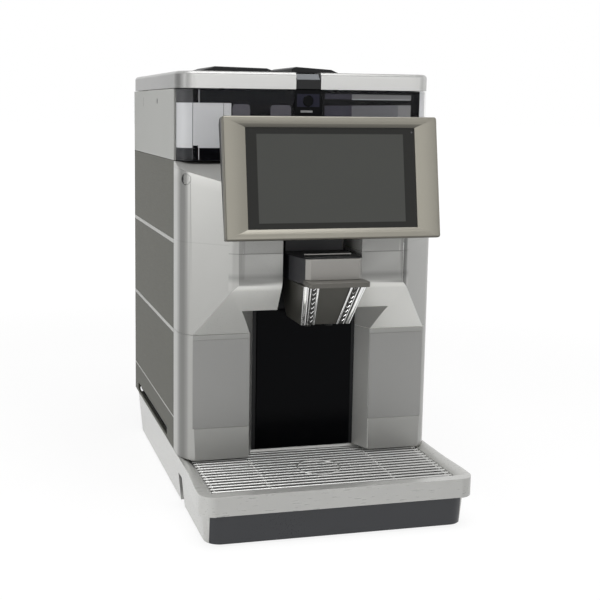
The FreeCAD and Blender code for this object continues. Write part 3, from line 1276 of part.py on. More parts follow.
# Coffee spout
def make_spout():
    spout_front = ahead(s.spout_front)
    plate_back = spout_front + 7.5
    housing = Moulding("spout_housing")
    wide, narrow = s.spout_rear_half, s.spout_half
    flare_line, back = ahead(s.spout_flare_depth), ahead(s.spout_rear)
    plan = [(-narrow, plate_back), (narrow, plate_back), (wide, flare_line), (wide, back), (-wide, back),
            (-wide, flare_line)]
    housing.pad("top", plan, s.spout_low - 5.7, s.spout_high)
    crown_front = ahead(62)
    housing.pad("top", rect(-38, 38, crown_front, back), s.spout_high - 1, s.spout_crown)
    housing.pocket("front", rect(-36, 36, s.spout_low, s.spout_high - s.skin), flare_line + 5, back + 1)
    crown_hollow = rect(-35, 35, s.spout_high - s.skin - 1, s.spout_crown - 4)
    housing.pocket("front", crown_hollow, crown_front + s.skin, back + 1)
    plate = Moulding("spout_front_plate")
    plate_plan = [(-narrow - 0.2, plate_back - 0.05), (5 - narrow, spout_front), (narrow - 5, spout_front),
                  (narrow + 0.2, plate_back - 0.05)]
    plate.pad("top", plate_plan, s.spout_low + 0.2, s.spout_high)
    plate.round(2.5, lambda e: runs(e, 2) and near(middle(e).y, spout_front))
    collar = Moulding("spout_collar")
    lip_front = ahead(s.collar_reach)
    lip_foot = s.spout_low - s.collar_thick
    lip = [(-s.collar_half, lip_front, 4), (s.collar_half, lip_front, 4), (s.collar_half, plate_back - 0.3),
           (-s.collar_half, plate_back - 0.3)]
    collar.pad("top", lip, lip_foot, s.spout_low)
    nose = Moulding("spout_nose")
    nose_top = lip_foot - 0.2
    top_front, top_back = ahead(145), ahead(36)
    foot_front, foot_back = ahead(s.nose_front), ahead(48)
    top_half, foot_half = s.collar_half + 2.5, s.nose_half
    profile = [(foot_front, s.nose_foot), (foot_back, s.nose_foot), (top_back, nose_top),
               (top_front, nose_top)]
    nose.pad("side", profile, -top_half, top_half)
    for side in (-1, 1):
        waste = [(side * foot_half, s.nose_foot), (side * top_half, nose_top),
                 (side * (top_half + 1), nose_top), (side * (top_half + 1), s.nose_foot - 1),
                 (side * foot_half, s.nose_foot - 1)]
        nose.pocket("front", waste, top_front - 1, top_back + 1)
    nozzles = []
    for side in (-1, 1):
        x, y = side * s.nozzle_pitch / 2, ahead(80)
        low = s.nose_foot - s.nozzle_drop
        tube = bar(f"nozzle_tube_{side + 1}", "z", (x, y), s.nozzle_radius, low, s.nose_foot - 0.05)
        bore = bar(f"nozzle_bore_{side + 1}", "z", (x, y), s.nozzle_radius - 2, low - 1, s.nose_foot - 1.5)
        nozzles.append(without(f"nozzle_{side + 1}", tube, bore))
    keep(group("spout_nozzles", *nozzles))
    for name, side in sides():
        chrome = Moulding(f"spout_chrome_{name}")
        sections = []
        for place, inner, outer, line in ((s.nose_foot, 13.4, foot_half, foot_front),
                                          (nose_top, 19.2, top_half, top_front)):
            outer, inner = dim(outer), dim(inner)
            step = (outer - inner) / 6
            face = line - 0.2
            comb = [(side * inner, face)]
            for index in range(7):
                lift = 2.4 if index % 2 else 1.1
                comb.append((side * (inner + step * index), face - lift))
            comb.append((side * outer, face))
            sections.append((place, comb))
        chrome.loft("top", sections)
    slider = Moulding("spout_slider")
    slider.pad("front", rect(-34, 34, s.spout_low + 2, s.spout_crown - 5), back + 0.1 - 5, back + 0.1)
    neck = s.slide_slot / 2 - s.slide_gap
    catch = liner_front + s.skin
    slider.pad("front", rect(-neck, neck, s.carriage_low, s.spout_crown - 1.3), back, catch + 1)
    slider.pad("front", rect(-14, 14, 330, s.spout_crown + 1), catch + 0.4, catch + 6)


makers = (make_base, make_feet, make_drip_tray, make_grille, make_chassis, make_fascia, make_side_panels,
          make_side_strips, make_upper_panels, make_rear_cover, make_power_pieces, make_hopper_shelf,
          make_windows, make_centre_panel, make_deck, make_lids, make_lid_insert, make_bridge, make_flap,
          make_hopper_and_tank, make_brewing, make_grinder, make_water_pieces, make_board,
          make_door_frame, make_columns, make_head, make_liner, make_display, make_spout)
for maker in makers:
    maker()
doc.recompute()

for item in doc.Objects:
    if "Invalid" in item.State or "Error" in item.State:
        raise ValueError(f"{item.Name} did not build")
for piece in pieces:
    if piece.Shape.isNull() or not piece.Shape.isValid():
        raise ValueError(f"{piece.Name} has no sound shape")

os.makedirs("parts", exist_ok=True)
for piece in pieces:
    piece.Shape.exportStep(f"parts/{piece.Name}.step")
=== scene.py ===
import json
import math
import bmesh
import bpy
import numpy as np
from mathutils import Matrix, Vector


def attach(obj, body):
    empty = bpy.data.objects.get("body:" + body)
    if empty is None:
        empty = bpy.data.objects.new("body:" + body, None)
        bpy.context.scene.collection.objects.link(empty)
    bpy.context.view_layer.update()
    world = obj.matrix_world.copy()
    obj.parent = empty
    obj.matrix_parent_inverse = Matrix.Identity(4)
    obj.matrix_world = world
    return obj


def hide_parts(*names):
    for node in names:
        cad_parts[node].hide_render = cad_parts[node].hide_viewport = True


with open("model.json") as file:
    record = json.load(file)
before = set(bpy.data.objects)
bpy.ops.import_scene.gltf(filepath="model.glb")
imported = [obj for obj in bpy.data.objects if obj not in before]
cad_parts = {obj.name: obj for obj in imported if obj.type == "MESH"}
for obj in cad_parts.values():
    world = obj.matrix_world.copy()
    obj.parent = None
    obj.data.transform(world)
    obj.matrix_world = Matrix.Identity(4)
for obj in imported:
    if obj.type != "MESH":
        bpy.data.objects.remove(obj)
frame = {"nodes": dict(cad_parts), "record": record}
nodes = frame["nodes"]
bodyOf = {member: body for body, members in frame["record"]["behaviour"]["bodies"].items()
          for member in members}
slotOf = {row["node"]: row["material_slot"] for row in frame["record"]["subparts"]}
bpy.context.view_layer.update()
scene = bpy.context.scene
print("frame loaded:", len(nodes), "nodes")


# Camera at the photograph's place
cameraSet = {"place": (-0.41943, -1.43648, 0.50325), "yaw": 14.04, "pitch": -8.42, "roll": 0.57,
             "sensor": 36, "lens": 66.256, "shift": (0.09722, -0.04805)}


def addCamera():
    # Forward comes from yaw and pitch, and right and up are turned about it by the roll
    yaw, pitch, roll = (math.radians(cameraSet[key]) for key in ("yaw", "pitch", "roll"))
    forward = Vector((math.sin(yaw) * math.cos(pitch), math.cos(yaw) * math.cos(pitch), math.sin(pitch)))
    level = Vector((math.cos(yaw), -math.sin(yaw), 0))
    above = level.cross(forward)
    right = level * math.cos(roll) + above * math.sin(roll)
    up = above * math.cos(roll) - level * math.sin(roll)
    data = bpy.data.cameras.new("photoCamera")
    data.sensor_width, data.lens = cameraSet["sensor"], cameraSet["lens"]
    data.shift_x, data.shift_y = cameraSet["shift"]
    camera = bpy.data.objects.new("photoCamera", data)
    camera.matrix_world = Matrix((right, up, -forward)).transposed().to_4x4()
    camera.location = cameraSet["place"]
    scene.collection.objects.link(camera)
    scene.camera = camera


addCamera()
print("camera set")


# Colours and shared effects
def tone(code):
    # Linear colour of an sRGB hex code: a straight line near black, then a power of 2.4
    channels = [int(code[i:i + 2], 16) / 255 for i in (1, 3, 5)]
    return tuple(c / 12.92 if c <= 0.04045 else ((c + 0.055) / 1.055) ** 2.4 for c in channels) + (1.0,)


def newGroup(name, inputs, outputs):
    # A shader node group with named sockets: (name, kind, value)
    group = bpy.data.node_groups.new(name, "ShaderNodeTree")
    for title, kind, value in inputs:
        socket = group.interface.new_socket(title, in_out="INPUT", socket_type=kind)
        socket.default_value = value
    for title, kind in outputs:
        group.interface.new_socket(title, in_out="OUTPUT", socket_type=kind)
    return group, group.nodes.new("NodeGroupInput"), group.nodes.new("NodeGroupOutput")


def maths(tree, operation, first, second=None, third=None):
    node = tree.nodes.new("ShaderNodeMath")
    node.operation = operation
    for index, value in enumerate((first, second, third)):
        if value is None:
            continue
        if isinstance(value, (int, float)):
            node.inputs[index].default_value = value
        else:
            tree.links.new(value, node.inputs[index])
    return node.outputs[0]


def mixColour(tree, factor, first, second, blend="MIX"):
    node = tree.nodes.new("ShaderNodeMix")
    node.data_type, node.blend_type = "RGBA", blend
    for socket, value in ((node.inputs[0], factor), (node.inputs[6], first), (node.inputs[7], second)):
        if isinstance(value, (int, float, tuple)):
            socket.default_value = value
        else:
            tree.links.new(value, socket)
    return node.outputs[2]


def noise(tree, vector, scale, detail=2):
    node = tree.nodes.new("ShaderNodeTexNoise")
    node.inputs["Detail"].default_value = detail
    if isinstance(scale, (int, float)):
        node.inputs["Scale"].default_value = scale
    else:
        tree.links.new(scale, node.inputs["Scale"])
    tree.links.new(vector, node.inputs["Vector"])
    return node.outputs["Fac"]


def objectCoords(tree):
    return tree.nodes.new("ShaderNodeTexCoord").outputs["Object"]


def objectPlace(tree):
    # Sockets of X, Y and Z
    split = tree.nodes.new("ShaderNodeSeparateXYZ")
    tree.links.new(objectCoords(tree), split.inputs[0])
    return split.outputs


def multiplyColour(tree, shade):
    # Puts a shade between the finish's colour and the shader
    target = tree.nodes["Principled BSDF"].inputs["Base Color"]
    source = target.links[0].from_socket
    tree.links.new(mixColour(tree, 1.0, source, shade, "MULTIPLY"), target)


def paintWhere(tree, mask, strength):
    # Colour times 1 outside the mask and times strength inside it
    multiplyColour(tree, maths(tree, "MULTIPLY_ADD", mask, strength - 1, 1.0))


def edgeMask(tree, value, low, high, soft, softHigh=None):
    # 1 between low and high and 0 outside, with soft ends
    softHigh = soft if softHigh is None else softHigh
    rise = tree.nodes.new("ShaderNodeMapRange")
    fall = tree.nodes.new("ShaderNodeMapRange")
    for node, start, stop in ((rise, low - soft, low + soft), (fall, high + softHigh, high - softHigh)):
        tree.links.new(value, node.inputs["Value"])
        node.inputs["From Min"].default_value, node.inputs["From Max"].default_value = start, stop
    return maths(tree, "MULTIPLY", rise.outputs["Result"], fall.outputs["Result"])


def shadeColour(group, entry, leave, shade):
    # Colour out is colour in times a grey shade
    grey = group.nodes.new("ShaderNodeCombineColor")
    for socket in grey.inputs[:3]:
        group.links.new(shade, socket)
    shaded = mixColour(group, 1.0, entry.outputs["Color"], grey.outputs[0], "MULTIPLY")
    group.links.new(shaded, leave.inputs["Color"])


# Noise scales per metre, the share by which each noise moves the colour or the roughness, and slopeStart, the
# upright part of the normal from which a face counts as looking up or down
effectSet = {"driftScale": 9.0, "grainRough": 0.10, "driftRough": 0.06, "lineScale": 60, "lineDetail": 4,
             "sheenScale": 6.0, "sheen": 0.06, "lineRough": 2.0, "slopeStart": 0.15}
skinOutputs = [("Color", "NodeSocketColor"), ("Roughness", "NodeSocketFloat"), ("Height", "NodeSocketFloat")]


def makeMouldedGroup():
    # Moulded or painted skin: slow colour drift, fine grain in roughness and height
    group, entry, leave = newGroup("mouldedSkin", [
        ("Color", "NodeSocketColor", (0.5, 0.5, 0.5, 1)), ("Roughness", "NodeSocketFloat", 0.4),
        ("Drift", "NodeSocketFloat", 0.04), ("Grain", "NodeSocketFloat", 900.0)], skinOutputs)
    place = objectCoords(group)
    slow = noise(group, place, effectSet["driftScale"])
    fine = noise(group, place, entry.outputs["Grain"])
    centred = maths(group, "SUBTRACT", slow, 0.5)
    shade = maths(group, "MULTIPLY_ADD", centred, entry.outputs["Drift"], 1.0)
    shadeColour(group, entry, leave, shade)
    grain = maths(group, "SUBTRACT", fine, 0.5)
    rough = maths(group, "MULTIPLY_ADD", grain, effectSet["grainRough"], entry.outputs["Roughness"])
    rough = maths(group, "MULTIPLY_ADD", centred, effectSet["driftRough"], rough)
    group.links.new(rough, leave.inputs["Roughness"])
    group.links.new(fine, leave.inputs["Height"])
    return group


def makeBrushedGroup():
    # Brushed metal or foil: lines along one axis, set by the stretch across it
    group, entry, leave = newGroup("brushedLines", [
        ("Color", "NodeSocketColor", (0.5, 0.5, 0.5, 1)), ("Roughness", "NodeSocketFloat", 0.3),
        ("Contrast", "NodeSocketFloat", 0.2), ("Scale", "NodeSocketVector", (1, 1, 1))], skinOutputs)
    place = objectCoords(group)
    mapping = group.nodes.new("ShaderNodeMapping")
    group.links.new(place, mapping.inputs["Vector"])
    group.links.new(entry.outputs["Scale"], mapping.inputs["Scale"])
    lines = noise(group, mapping.outputs[0], effectSet["lineScale"], effectSet["lineDetail"])
    slow = noise(group, place, effectSet["sheenScale"])
    centred = maths(group, "SUBTRACT", lines, 0.5)
    drift = maths(group, "MULTIPLY", maths(group, "SUBTRACT", slow, 0.5), effectSet["sheen"])
    shade = maths(group, "ADD", maths(group, "MULTIPLY_ADD", centred, entry.outputs["Contrast"], 1.0), drift)
    shadeColour(group, entry, leave, shade)
    rough = maths(group, "MULTIPLY", centred, entry.outputs["Contrast"])
    rough = maths(group, "MULTIPLY_ADD", rough, effectSet["lineRough"], entry.outputs["Roughness"])
    group.links.new(rough, leave.inputs["Roughness"])
    group.links.new(lines, leave.inputs["Height"])
    return group


def makeTurnGroup():
    # Which way the surface faces: its turn round the upright from 0 (back) over 0.25 (right), 0.5 (front) and
    # 0.75 (left) to 1, and masks for faces that look up or down
    group, entry, leave = newGroup("facing", [("Soft", "NodeSocketFloat", 0.25)], [
        ("Turn", "NodeSocketFloat"), ("Up", "NodeSocketFloat"), ("Down", "NodeSocketFloat")])
    split = group.nodes.new("ShaderNodeSeparateXYZ")
    group.links.new(group.nodes.new("ShaderNodeTexCoord").outputs["Normal"], split.inputs[0])
    x, y, z = split.outputs
    angle = maths(group, "ARCTAN2", maths(group, "MULTIPLY", x, -1), maths(group, "MULTIPLY", y, -1))
    group.links.new(maths(group, "MULTIPLY_ADD", angle, 1 / (2 * math.pi), 0.5), leave.inputs["Turn"])
    start = effectSet["slopeStart"]
    for title, sign in (("Up", 1), ("Down", -1)):
        spread = group.nodes.new("ShaderNodeMapRange")
        spread.interpolation_type = "SMOOTHSTEP"
        group.links.new(maths(group, "MULTIPLY", z, sign), spread.inputs["Value"])
        spread.inputs["From Min"].default_value = start
        group.links.new(maths(group, "ADD", entry.outputs["Soft"], start), spread.inputs["From Max"])
        group.links.new(spread.outputs["Result"], leave.inputs[title])
    return group


mouldedSkin, brushedLines, facing = makeMouldedGroup(), makeBrushedGroup(), makeTurnGroup()
print("shared effects ready")


def surface(name, effect, settings, bump, shader):
    # One Principled material whose colour, roughness and bump come from a shared effect
    material = bpy.data.materials.new(name)
    material.use_nodes = True
    tree = material.node_tree
    principled = tree.nodes["Principled BSDF"]
    node = tree.nodes.new("ShaderNodeGroup")
    node.node_tree = effect
    for title, value in settings.items():
        node.inputs[title].default_value = value
    tree.links.new(node.outputs["Color"], principled.inputs["Base Color"])
    tree.links.new(node.outputs["Roughness"], principled.inputs["Roughness"])
    relief = tree.nodes.new("ShaderNodeBump")
    relief.inputs["Strength"].default_value, relief.inputs["Distance"].default_value = bump
    tree.links.new(node.outputs["Height"], relief.inputs["Height"])
    tree.links.new(relief.outputs[0], principled.inputs["Normal"])
    for title, value in shader.items():
        principled.inputs[title].default_value = value
    return material


def moulded(name, colour, roughness, drift=0.05, grain=900.0, bump=(0.25, 0.0001), **shader):
    settings = {"Color": tone(colour), "Roughness": roughness, "Drift": drift, "Grain": grain}
    return surface(name, mouldedSkin, settings, bump, {key.replace("_", " "): v for key, v in shader.items()})


def brushed(name, colour, roughness, contrast, lines, bump=(0.1, 0.00005), **shader):
    settings = {"Color": tone(colour), "Roughness": roughness, "Contrast": contrast, "Scale": lines}
    return surface(name, brushedLines, settings, bump, {key.replace("_", " "): v for key, v in shader.items()})


# Bump is a strength and a distance in metres. Painted skins share their settings, and so do polished ones
noBump, slightBump = (0.0, 0.00001), (0.02, 0.00002)
painted = {"drift": 0.03, "grain": 1500.0, "bump": slightBump}
polished = {"drift": 0.0, "grain": 300.0, "bump": noBump}
finishes = {
    "silver_base": brushed("silverBase", "#bfbfbc", 0.28, 0.02, (1, 12, 12), noBump, Metallic=0.35),
    "silver_body": moulded("silverBody", "#a7a7a4", 0.3, **painted, Metallic=0.35),
    "lid_silver": moulded("lidSilver", "#cdcdcb", 0.3, **painted, Metallic=0.35),
    "light_panel": moulded("lightPanel", "#b9bab6", 0.5, 0.03, Specular_IOR_Level=0.3),
    "light_strip": moulded("lightStrip", "#bcbcb8", 0.45, 0.02),
    "grey_panel": brushed("greyPlate", "#969694", 0.36, 0.03, (40, 40, 1), noBump, Metallic=0.4),
    "side_panel": brushed("sidePlate", "#55554d", 0.55, 0.10, (30, 1, 30), Metallic=0.1,
                          Specular_IOR_Level=0.25),
    "tray_dark": moulded("trayFront", "#2f3135", 0.3, 0.05),
    "steel_wire": moulded("steelWire", "#bcbcba", 0.34, 0.02, 300.0, noBump, Metallic=0.6),
    "rubber": moulded("footRubber", "#161616", 0.8),
    "black_matte": moulded("blackMatt", "#0e0f11", 0.5, Specular_IOR_Level=0.25),
    "black_gloss": moulded("blackGloss", "#040508", 0.15, 0.02, 300.0, slightBump, Specular_IOR_Level=0.05),
    "dark_grey": moulded("darkGrey", "#131312", 0.45, Specular_IOR_Level=0.2),
    "bezel": brushed("screenFrame", "#868379", 0.34, 0.02, (1, 14, 14), slightBump, Metallic=0.5),
    "screen": moulded("screenGlass", "#2b2b29", 0.2, **polished, Specular_IOR_Level=0.1),
    "spout_satin": brushed("spoutPlate", "#8e8c88", 0.32, 0.03, (1, 60, 60), noBump, Metallic=0.5),
    "chrome": moulded("chrome", "#e6e6e6", 0.06, 0.0, 300.0, slightBump, Metallic=1.0),
    "dark_metallic": moulded("noseMetal", "#4c4b46", 0.34, Metallic=0.4),
    "steel": brushed("innerSteel", "#b8b8b8", 0.3, 0.1, (30, 30, 1), Metallic=1.0),
    "hopper_grey": moulded("hopperGrey", "#b9bac0", 0.35),
    "pcb": moulded("circuitBoard", "#0f4a26", 0.5),
    "inner_grey": moulded("innerGrey", "#4a4a4c", 0.5),
}


# Painted reflections and shade, set by the way a face turns: light and dark bands across round corners, and
# tones for faces that look up or down and for inner faces. Turns are (degrees from the front towards the left,
# tone)
paintedTurnShades = {
    "silver_body": {"turns": ((-92, 1.0), (-62, 1.0), (-40, 0.85), (-30, 0.42), (-18, 0.42), (-6, 0.95),
                              (0, 0.9), (4, 0.72), (11, 0.78), (20, 1.25), (34, 1.12), (47, 1.12), (52, 0.8),
                              (60, 0.56), (68, 0.54), (75, 0.66), (81, 0.95), (92, 1.1)),
                    "up": 1.1, "down": 1.9, "inner": 2.8},
    "lid_silver": {"turns": ((-92, 0.75), (-70, 0.6), (-40, 0.5), (-15, 1.0), (0, 1), (14, 1.15), (26, 0.7),
                             (45, 0.26), (62, 0.3), (80, 0.42), (92, 0.4)),
                   "up": 0.62, "down": 1.0, "inner": 1.0},
    "silver_base": {"turns": ((-92, 0.9), (-45, 0.85), (-8, 0.85), (0, 0.95), (10, 1.0), (40, 1.15),
                              (92, 1.15)),
                    "up": 1.0, "down": 1.0, "inner": 1.0},
}
innerFaces = {"pastMiddle": 0.02, "turn": 0.62}


def paintTurnShade(material, turns, up, down, inner):
    # The painted shade follows the turn, then goes over to the tones for faces that look up or down. Inner
    # lightens faces right of the middle that look left, as painted light where the lamps leave them in shade
    tree = material.node_tree
    node, ramp = tree.nodes.new("ShaderNodeGroup"), tree.nodes.new("ShaderNodeValToRGB")
    node.node_tree = facing
    tree.links.new(node.outputs["Turn"], ramp.inputs[0])
    most = max(value for _, value in turns)
    stops = ramp.color_ramp.elements
    while len(stops) < len(turns):
        stops.new(0.5)
    for stop, (degrees, value) in zip(stops, turns):
        stop.position = degrees / 360 + 0.5
        stop.color = (value / most, value / most, value / most, 1)
    shade = maths(tree, "MULTIPLY", ramp.outputs["Color"], most)
    for title, value in (("Up", up), ("Down", down)):
        blend = tree.nodes.new("ShaderNodeMix")
        tree.links.new(node.outputs[title], blend.inputs[0])
        tree.links.new(shade, blend.inputs[2])
        blend.inputs[3].default_value = value
        shade = blend.outputs[0]
    # Painted light on inner faces that the lamps leave in shade
    if inner != 1.0:
        right = maths(tree, "GREATER_THAN", objectPlace(tree)["X"], innerFaces["pastMiddle"])
        left = maths(tree, "GREATER_THAN", node.outputs["Turn"], innerFaces["turn"])
        mask = maths(tree, "MULTIPLY", right, left)
        shade = maths(tree, "MULTIPLY", shade, maths(tree, "MULTIPLY_ADD", mask, inner - 1, 1.0))
    multiplyColour(tree, shade)


for slot, paint in paintedTurnShades.items():
    paintTurnShade(finishes[slot], **paint)


# Door head, in metres. Seams and painted light: low, high, softness, strength, and 1 beyond seamEdge or -1
# within it. They are a dark seam on the middle face, a faint dark line on the side faces, a painted shade in
# the bend above the ramp and a painted highlight along the ramp's top edge. Band under the crest, a painted
# highlight: width, softness above and below, strength. Bore, a painted shadow in the lock's bore: axis Y and
# Z, radius, end, strength
headMarks = {"seams": ((0.3293, 0.3301, 0.0004, 0.55, -1), (0.3392, 0.3400, 0.0005, 0.86, 1),
                       (0.2985, 0.3035, 0.003, 0.72, -1), (0.2845, 0.2945, 0.0015, 1.14, -1)),
             "seamEdge": 0.116, "crestHeight": 0.4245, "crestStart": 0.155, "crestSlope": 0.288,
             "band": (0.008, 0.0003, 0.006, 1.14), "bore": (-0.114, 0.4165, 0.0069, 0.149, 0.25)}


def paintHead(material):
    # The crest's height changes evenly with X, and the painted highlight band is measured down from it. The
    # painted bore shadow is all that lies within a radius of its axis
    part, tree = headMarks, material.node_tree
    x, y, z = objectPlace(tree)
    reach = maths(tree, "ABSOLUTE", x)
    # Dark seams, then a painted shade band and a painted highlight band above the ramp
    for low, high, soft, strength, side in part["seams"]:
        stripe = edgeMask(tree, z, low, high, soft)
        across = maths(tree, "GREATER_THAN" if side > 0 else "LESS_THAN", reach, part["seamEdge"])
        paintWhere(tree, maths(tree, "MULTIPLY", stripe, across), strength)
    # Painted highlight band under the crest
    width, above, below, strength = part["band"]
    outward = maths(tree, "SUBTRACT", reach, part["crestStart"])
    crest = maths(tree, "MULTIPLY_ADD", outward, part["crestSlope"], part["crestHeight"])
    under = maths(tree, "SUBTRACT", crest, z)
    paintWhere(tree, edgeMask(tree, under, 0.0, width, above, below), strength)
    # Painted shadow inside the lock's bore
    centreY, centreZ, radius, end, strength = part["bore"]
    squares = [maths(tree, "POWER", maths(tree, "SUBTRACT", value, centre), 2.0)
               for value, centre in ((y, centreY), (z, centreZ))]
    inside = maths(tree, "LESS_THAN", maths(tree, "ADD", *squares), radius ** 2)
    inside = maths(tree, "MULTIPLY", inside, maths(tree, "LESS_THAN", x, -end))
    paintWhere(tree, inside, strength)


finishes["headPaint"] = moulded("headPaint", "#a7a7a4", 0.3, **painted, Metallic=0.35)
paintTurnShade(finishes["headPaint"], **paintedTurnShades["silver_body"])
paintHead(finishes["headPaint"])


# Bridge, in metres: faces that look up are lighter where they lie ahead of a place along Y
bridgeSlope = {"ahead": -0.078, "strength": 17.0}


def paintBridge(material):
    # The mask is the places ahead of the limit times how far they look up
    tree = material.node_tree
    turned = tree.nodes.new("ShaderNodeGroup")
    turned.node_tree = facing
    front = maths(tree, "LESS_THAN", objectPlace(tree)["Y"], bridgeSlope["ahead"])
    paintWhere(tree, maths(tree, "MULTIPLY", front, turned.outputs["Up"]), bridgeSlope["strength"])


finishes["smoked"] = moulded("smokedWindow", "#2c2c32", 0.04, **polished, Alpha=0.08)
finishes["tank_clear"] = moulded("tankClear", "#d4dde2", 0.08, **polished, Transmission_Weight=0.9, IOR=1.2)
finishes["spoutHousing"] = moulded("spoutHousing", "#303033", 0.4, Specular_IOR_Level=0.4)
finishes["collarMetal"] = moulded("collarMetal", "#5c5a55", 0.34, Metallic=0.4)
finishes["bridgeGloss"] = moulded("bridgeGloss", "#161718", 0.25, Specular_IOR_Level=0.2)
paintBridge(finishes["bridgeGloss"])
# Nodes whose finish isn't their slot's usual one
ownFinish = {"spout_housing": "spoutHousing", "door_head": "headPaint", "spout_collar": "collarMetal",
             "centre_bridge": "bridgeGloss"}


def finishOf(node):
    return finishes[ownFinish.get(node, slotOf[node])]


for name, part in nodes.items():
    part.data.materials.clear()
    part.data.materials.append(finishOf(name))
print("finishes:", len(finishes))


# Pieces worked out with numpy
def ringFaces(rings, around, closed):
    # Quads between each point, its neighbour on the ring and the same two on the next ring
    index = np.arange(rings * around).reshape(rings, around)
    index = np.hstack((index, index[:, :1]))
    if closed:
        index = np.vstack((index, index[:1]))
    return np.stack((index[:-1, :-1], index[:-1, 1:], index[1:, 1:], index[1:, :-1]), -1).reshape(-1, 4)


def addPiece(name, solids, material, body, replaced=(), crease=30):
    # Each solid is an array of rings by points by XYZ in mm, and whether its last ring joins the first.
    # Open ends get a cap
    places, faces, used = [], [], 0
    for rings, closed in solids:
        count, around = rings.shape[:2]
        faces += (ringFaces(count, around, closed) + used).tolist()
        if not closed:
            last = used + (count - 1) * around
            faces += [list(range(used, used + around)), list(range(last, last + around))]
        places.append(rings.reshape(-1, 3) / 1000)
        used += count * around
    mesh = bpy.data.meshes.new(name)
    mesh.from_pydata(np.concatenate(places).tolist(), [], faces)
    shape = bmesh.new()
    shape.from_mesh(mesh)
    bmesh.ops.recalc_face_normals(shape, faces=shape.faces)
    shape.to_mesh(mesh)
    shape.free()
    mesh.polygons.foreach_set("use_smooth", np.ones(len(mesh.polygons), bool))
    mesh.set_sharp_from_angle(angle=math.radians(crease))
    mesh.materials.append(material)
    piece = bpy.data.objects.new(name, mesh)
    scene.collection.objects.link(piece)
    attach(piece, body)
    if replaced:
        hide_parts(*replaced)
    return piece


def block(low, high, bevel=0.3, endShare=0.9):
    # Box carried along X: its YZ section is a rectangle with cut corners, and both ends are a little smaller
    (x0, y0, z0), (x1, y1, z1) = low, high
    section = np.array([(y0 + bevel, z0), (y1 - bevel, z0), (y1, z0 + bevel), (y1, z1 - bevel),
                        (y1 - bevel, z1), (y0 + bevel, z1), (y0, z1 - bevel), (y0, z0 + bevel)])
    middle = section.mean(0)
    rings = []
    for x, scale in ((x0, 0.0), (x0 + bevel, 1.0), (x1 - bevel, 1.0), (x1, 0.0)):
        inner = section if scale else section + np.sign(middle - section) * bevel * endShare
        rings.append(np.column_stack((np.full(len(section), x), inner)))
    return np.array(rings), False


# Display frame, in mm: four sloping bands with mitred corners. Tones are painted shade and highlight: left,
# right, low and high band, each from its outer to its inner edge. The edge tones are painted shade on the
# rounded outer edge
screenFrame = {"halfWidth": 133.0, "height": 145.2, "foot": 351.5, "front": -214.0, "tilt": 9.9,
               "sideBand": 28.0, "crossBand": 13.0, "depth": 6.95, "fall": 3.5, "edge": 2.4, "corner": 3.4,
               "steps": 12, "cornerSteps": 6, "edgeSteps": 5, "straight": 1.0,
               "tones": ((1.08, 0.92), (0.82, 1.3), (1.1, 0.72), (1.15, 0.4)),
               "edgeTones": (0.5, 0.8, 0.5, 0.8), "edgeShare": 0.8, "toneCurve": 1.2, "thin": 0.03,
               "wall": 0.02}


def leaned(across, height, depth):
    # Place of a display point: height and depth turned by the tilt about the lower front edge
    tilt = math.radians(screenFrame["tilt"])
    y = screenFrame["front"] + depth * math.cos(tilt) + height * math.sin(tilt)
    z = screenFrame["foot"] - depth * math.sin(tilt) + height * math.cos(tilt)
    return np.stack(np.broadcast_arrays(across, y, z), -1)


def frameRing(insetAcross, insetHeight, depth, radius):
    # Rectangle with round corners: a quarter circle at each corner, with a short straight piece at both ends
    part = screenFrame
    angles = np.linspace(0, math.pi / 2, part["cornerSteps"] + 1)
    arc = np.stack((np.cos(angles), np.sin(angles)), -1) * radius
    arc = np.vstack(((radius, -part["straight"]), arc, (-part["straight"], radius)))
    right, high = part["halfWidth"] - insetAcross, part["height"] - insetHeight
    centres = ((right - radius, high - radius), (radius - right, high - radius),
               (radius - right, insetHeight + radius), (right - radius, insetHeight + radius))
    ring = []
    for turn, centre in enumerate(centres):
        c, s = round(math.cos(turn * math.pi / 2)), round(math.sin(turn * math.pi / 2))
        ring.append(arc @ np.array(((c, s), (-s, c))) + centre)
    plane = np.vstack(ring)
    return leaned(plane[:, 0], plane[:, 1], depth)


def frameShade(rings):
    # Painted shade of each point: it goes between two values from the outer to the inner edge of its band, and
    # the rounded outer edge takes its own edge tone
    part = screenFrame
    tilt = math.radians(part["tilt"])
    places = rings.reshape(-1, 3)
    across = places[:, 0]
    height = ((places[:, 2] - part["foot"]) * math.cos(tilt) + (places[:, 1] - part["front"]) * math.sin(tilt))
    gaps = np.stack((across + part["halfWidth"], part["halfWidth"] - across, height, part["height"] - height))
    ways = gaps / np.array((part["sideBand"], part["sideBand"], part["crossBand"], part["crossBand"]))[:, None]
    band = ways.argmin(0)
    way = np.clip(ways.min(0), 0, 1)
    outer, inner = np.array(part["tones"]).T
    tones = outer[band] + (inner[band] - outer[band]) * way ** part["toneCurve"]
    rounded = gaps.min(0) < part["edge"] * part["edgeShare"]
    return np.where(rounded, np.array(part["edgeTones"])[gaps.argmin(0)], tones)


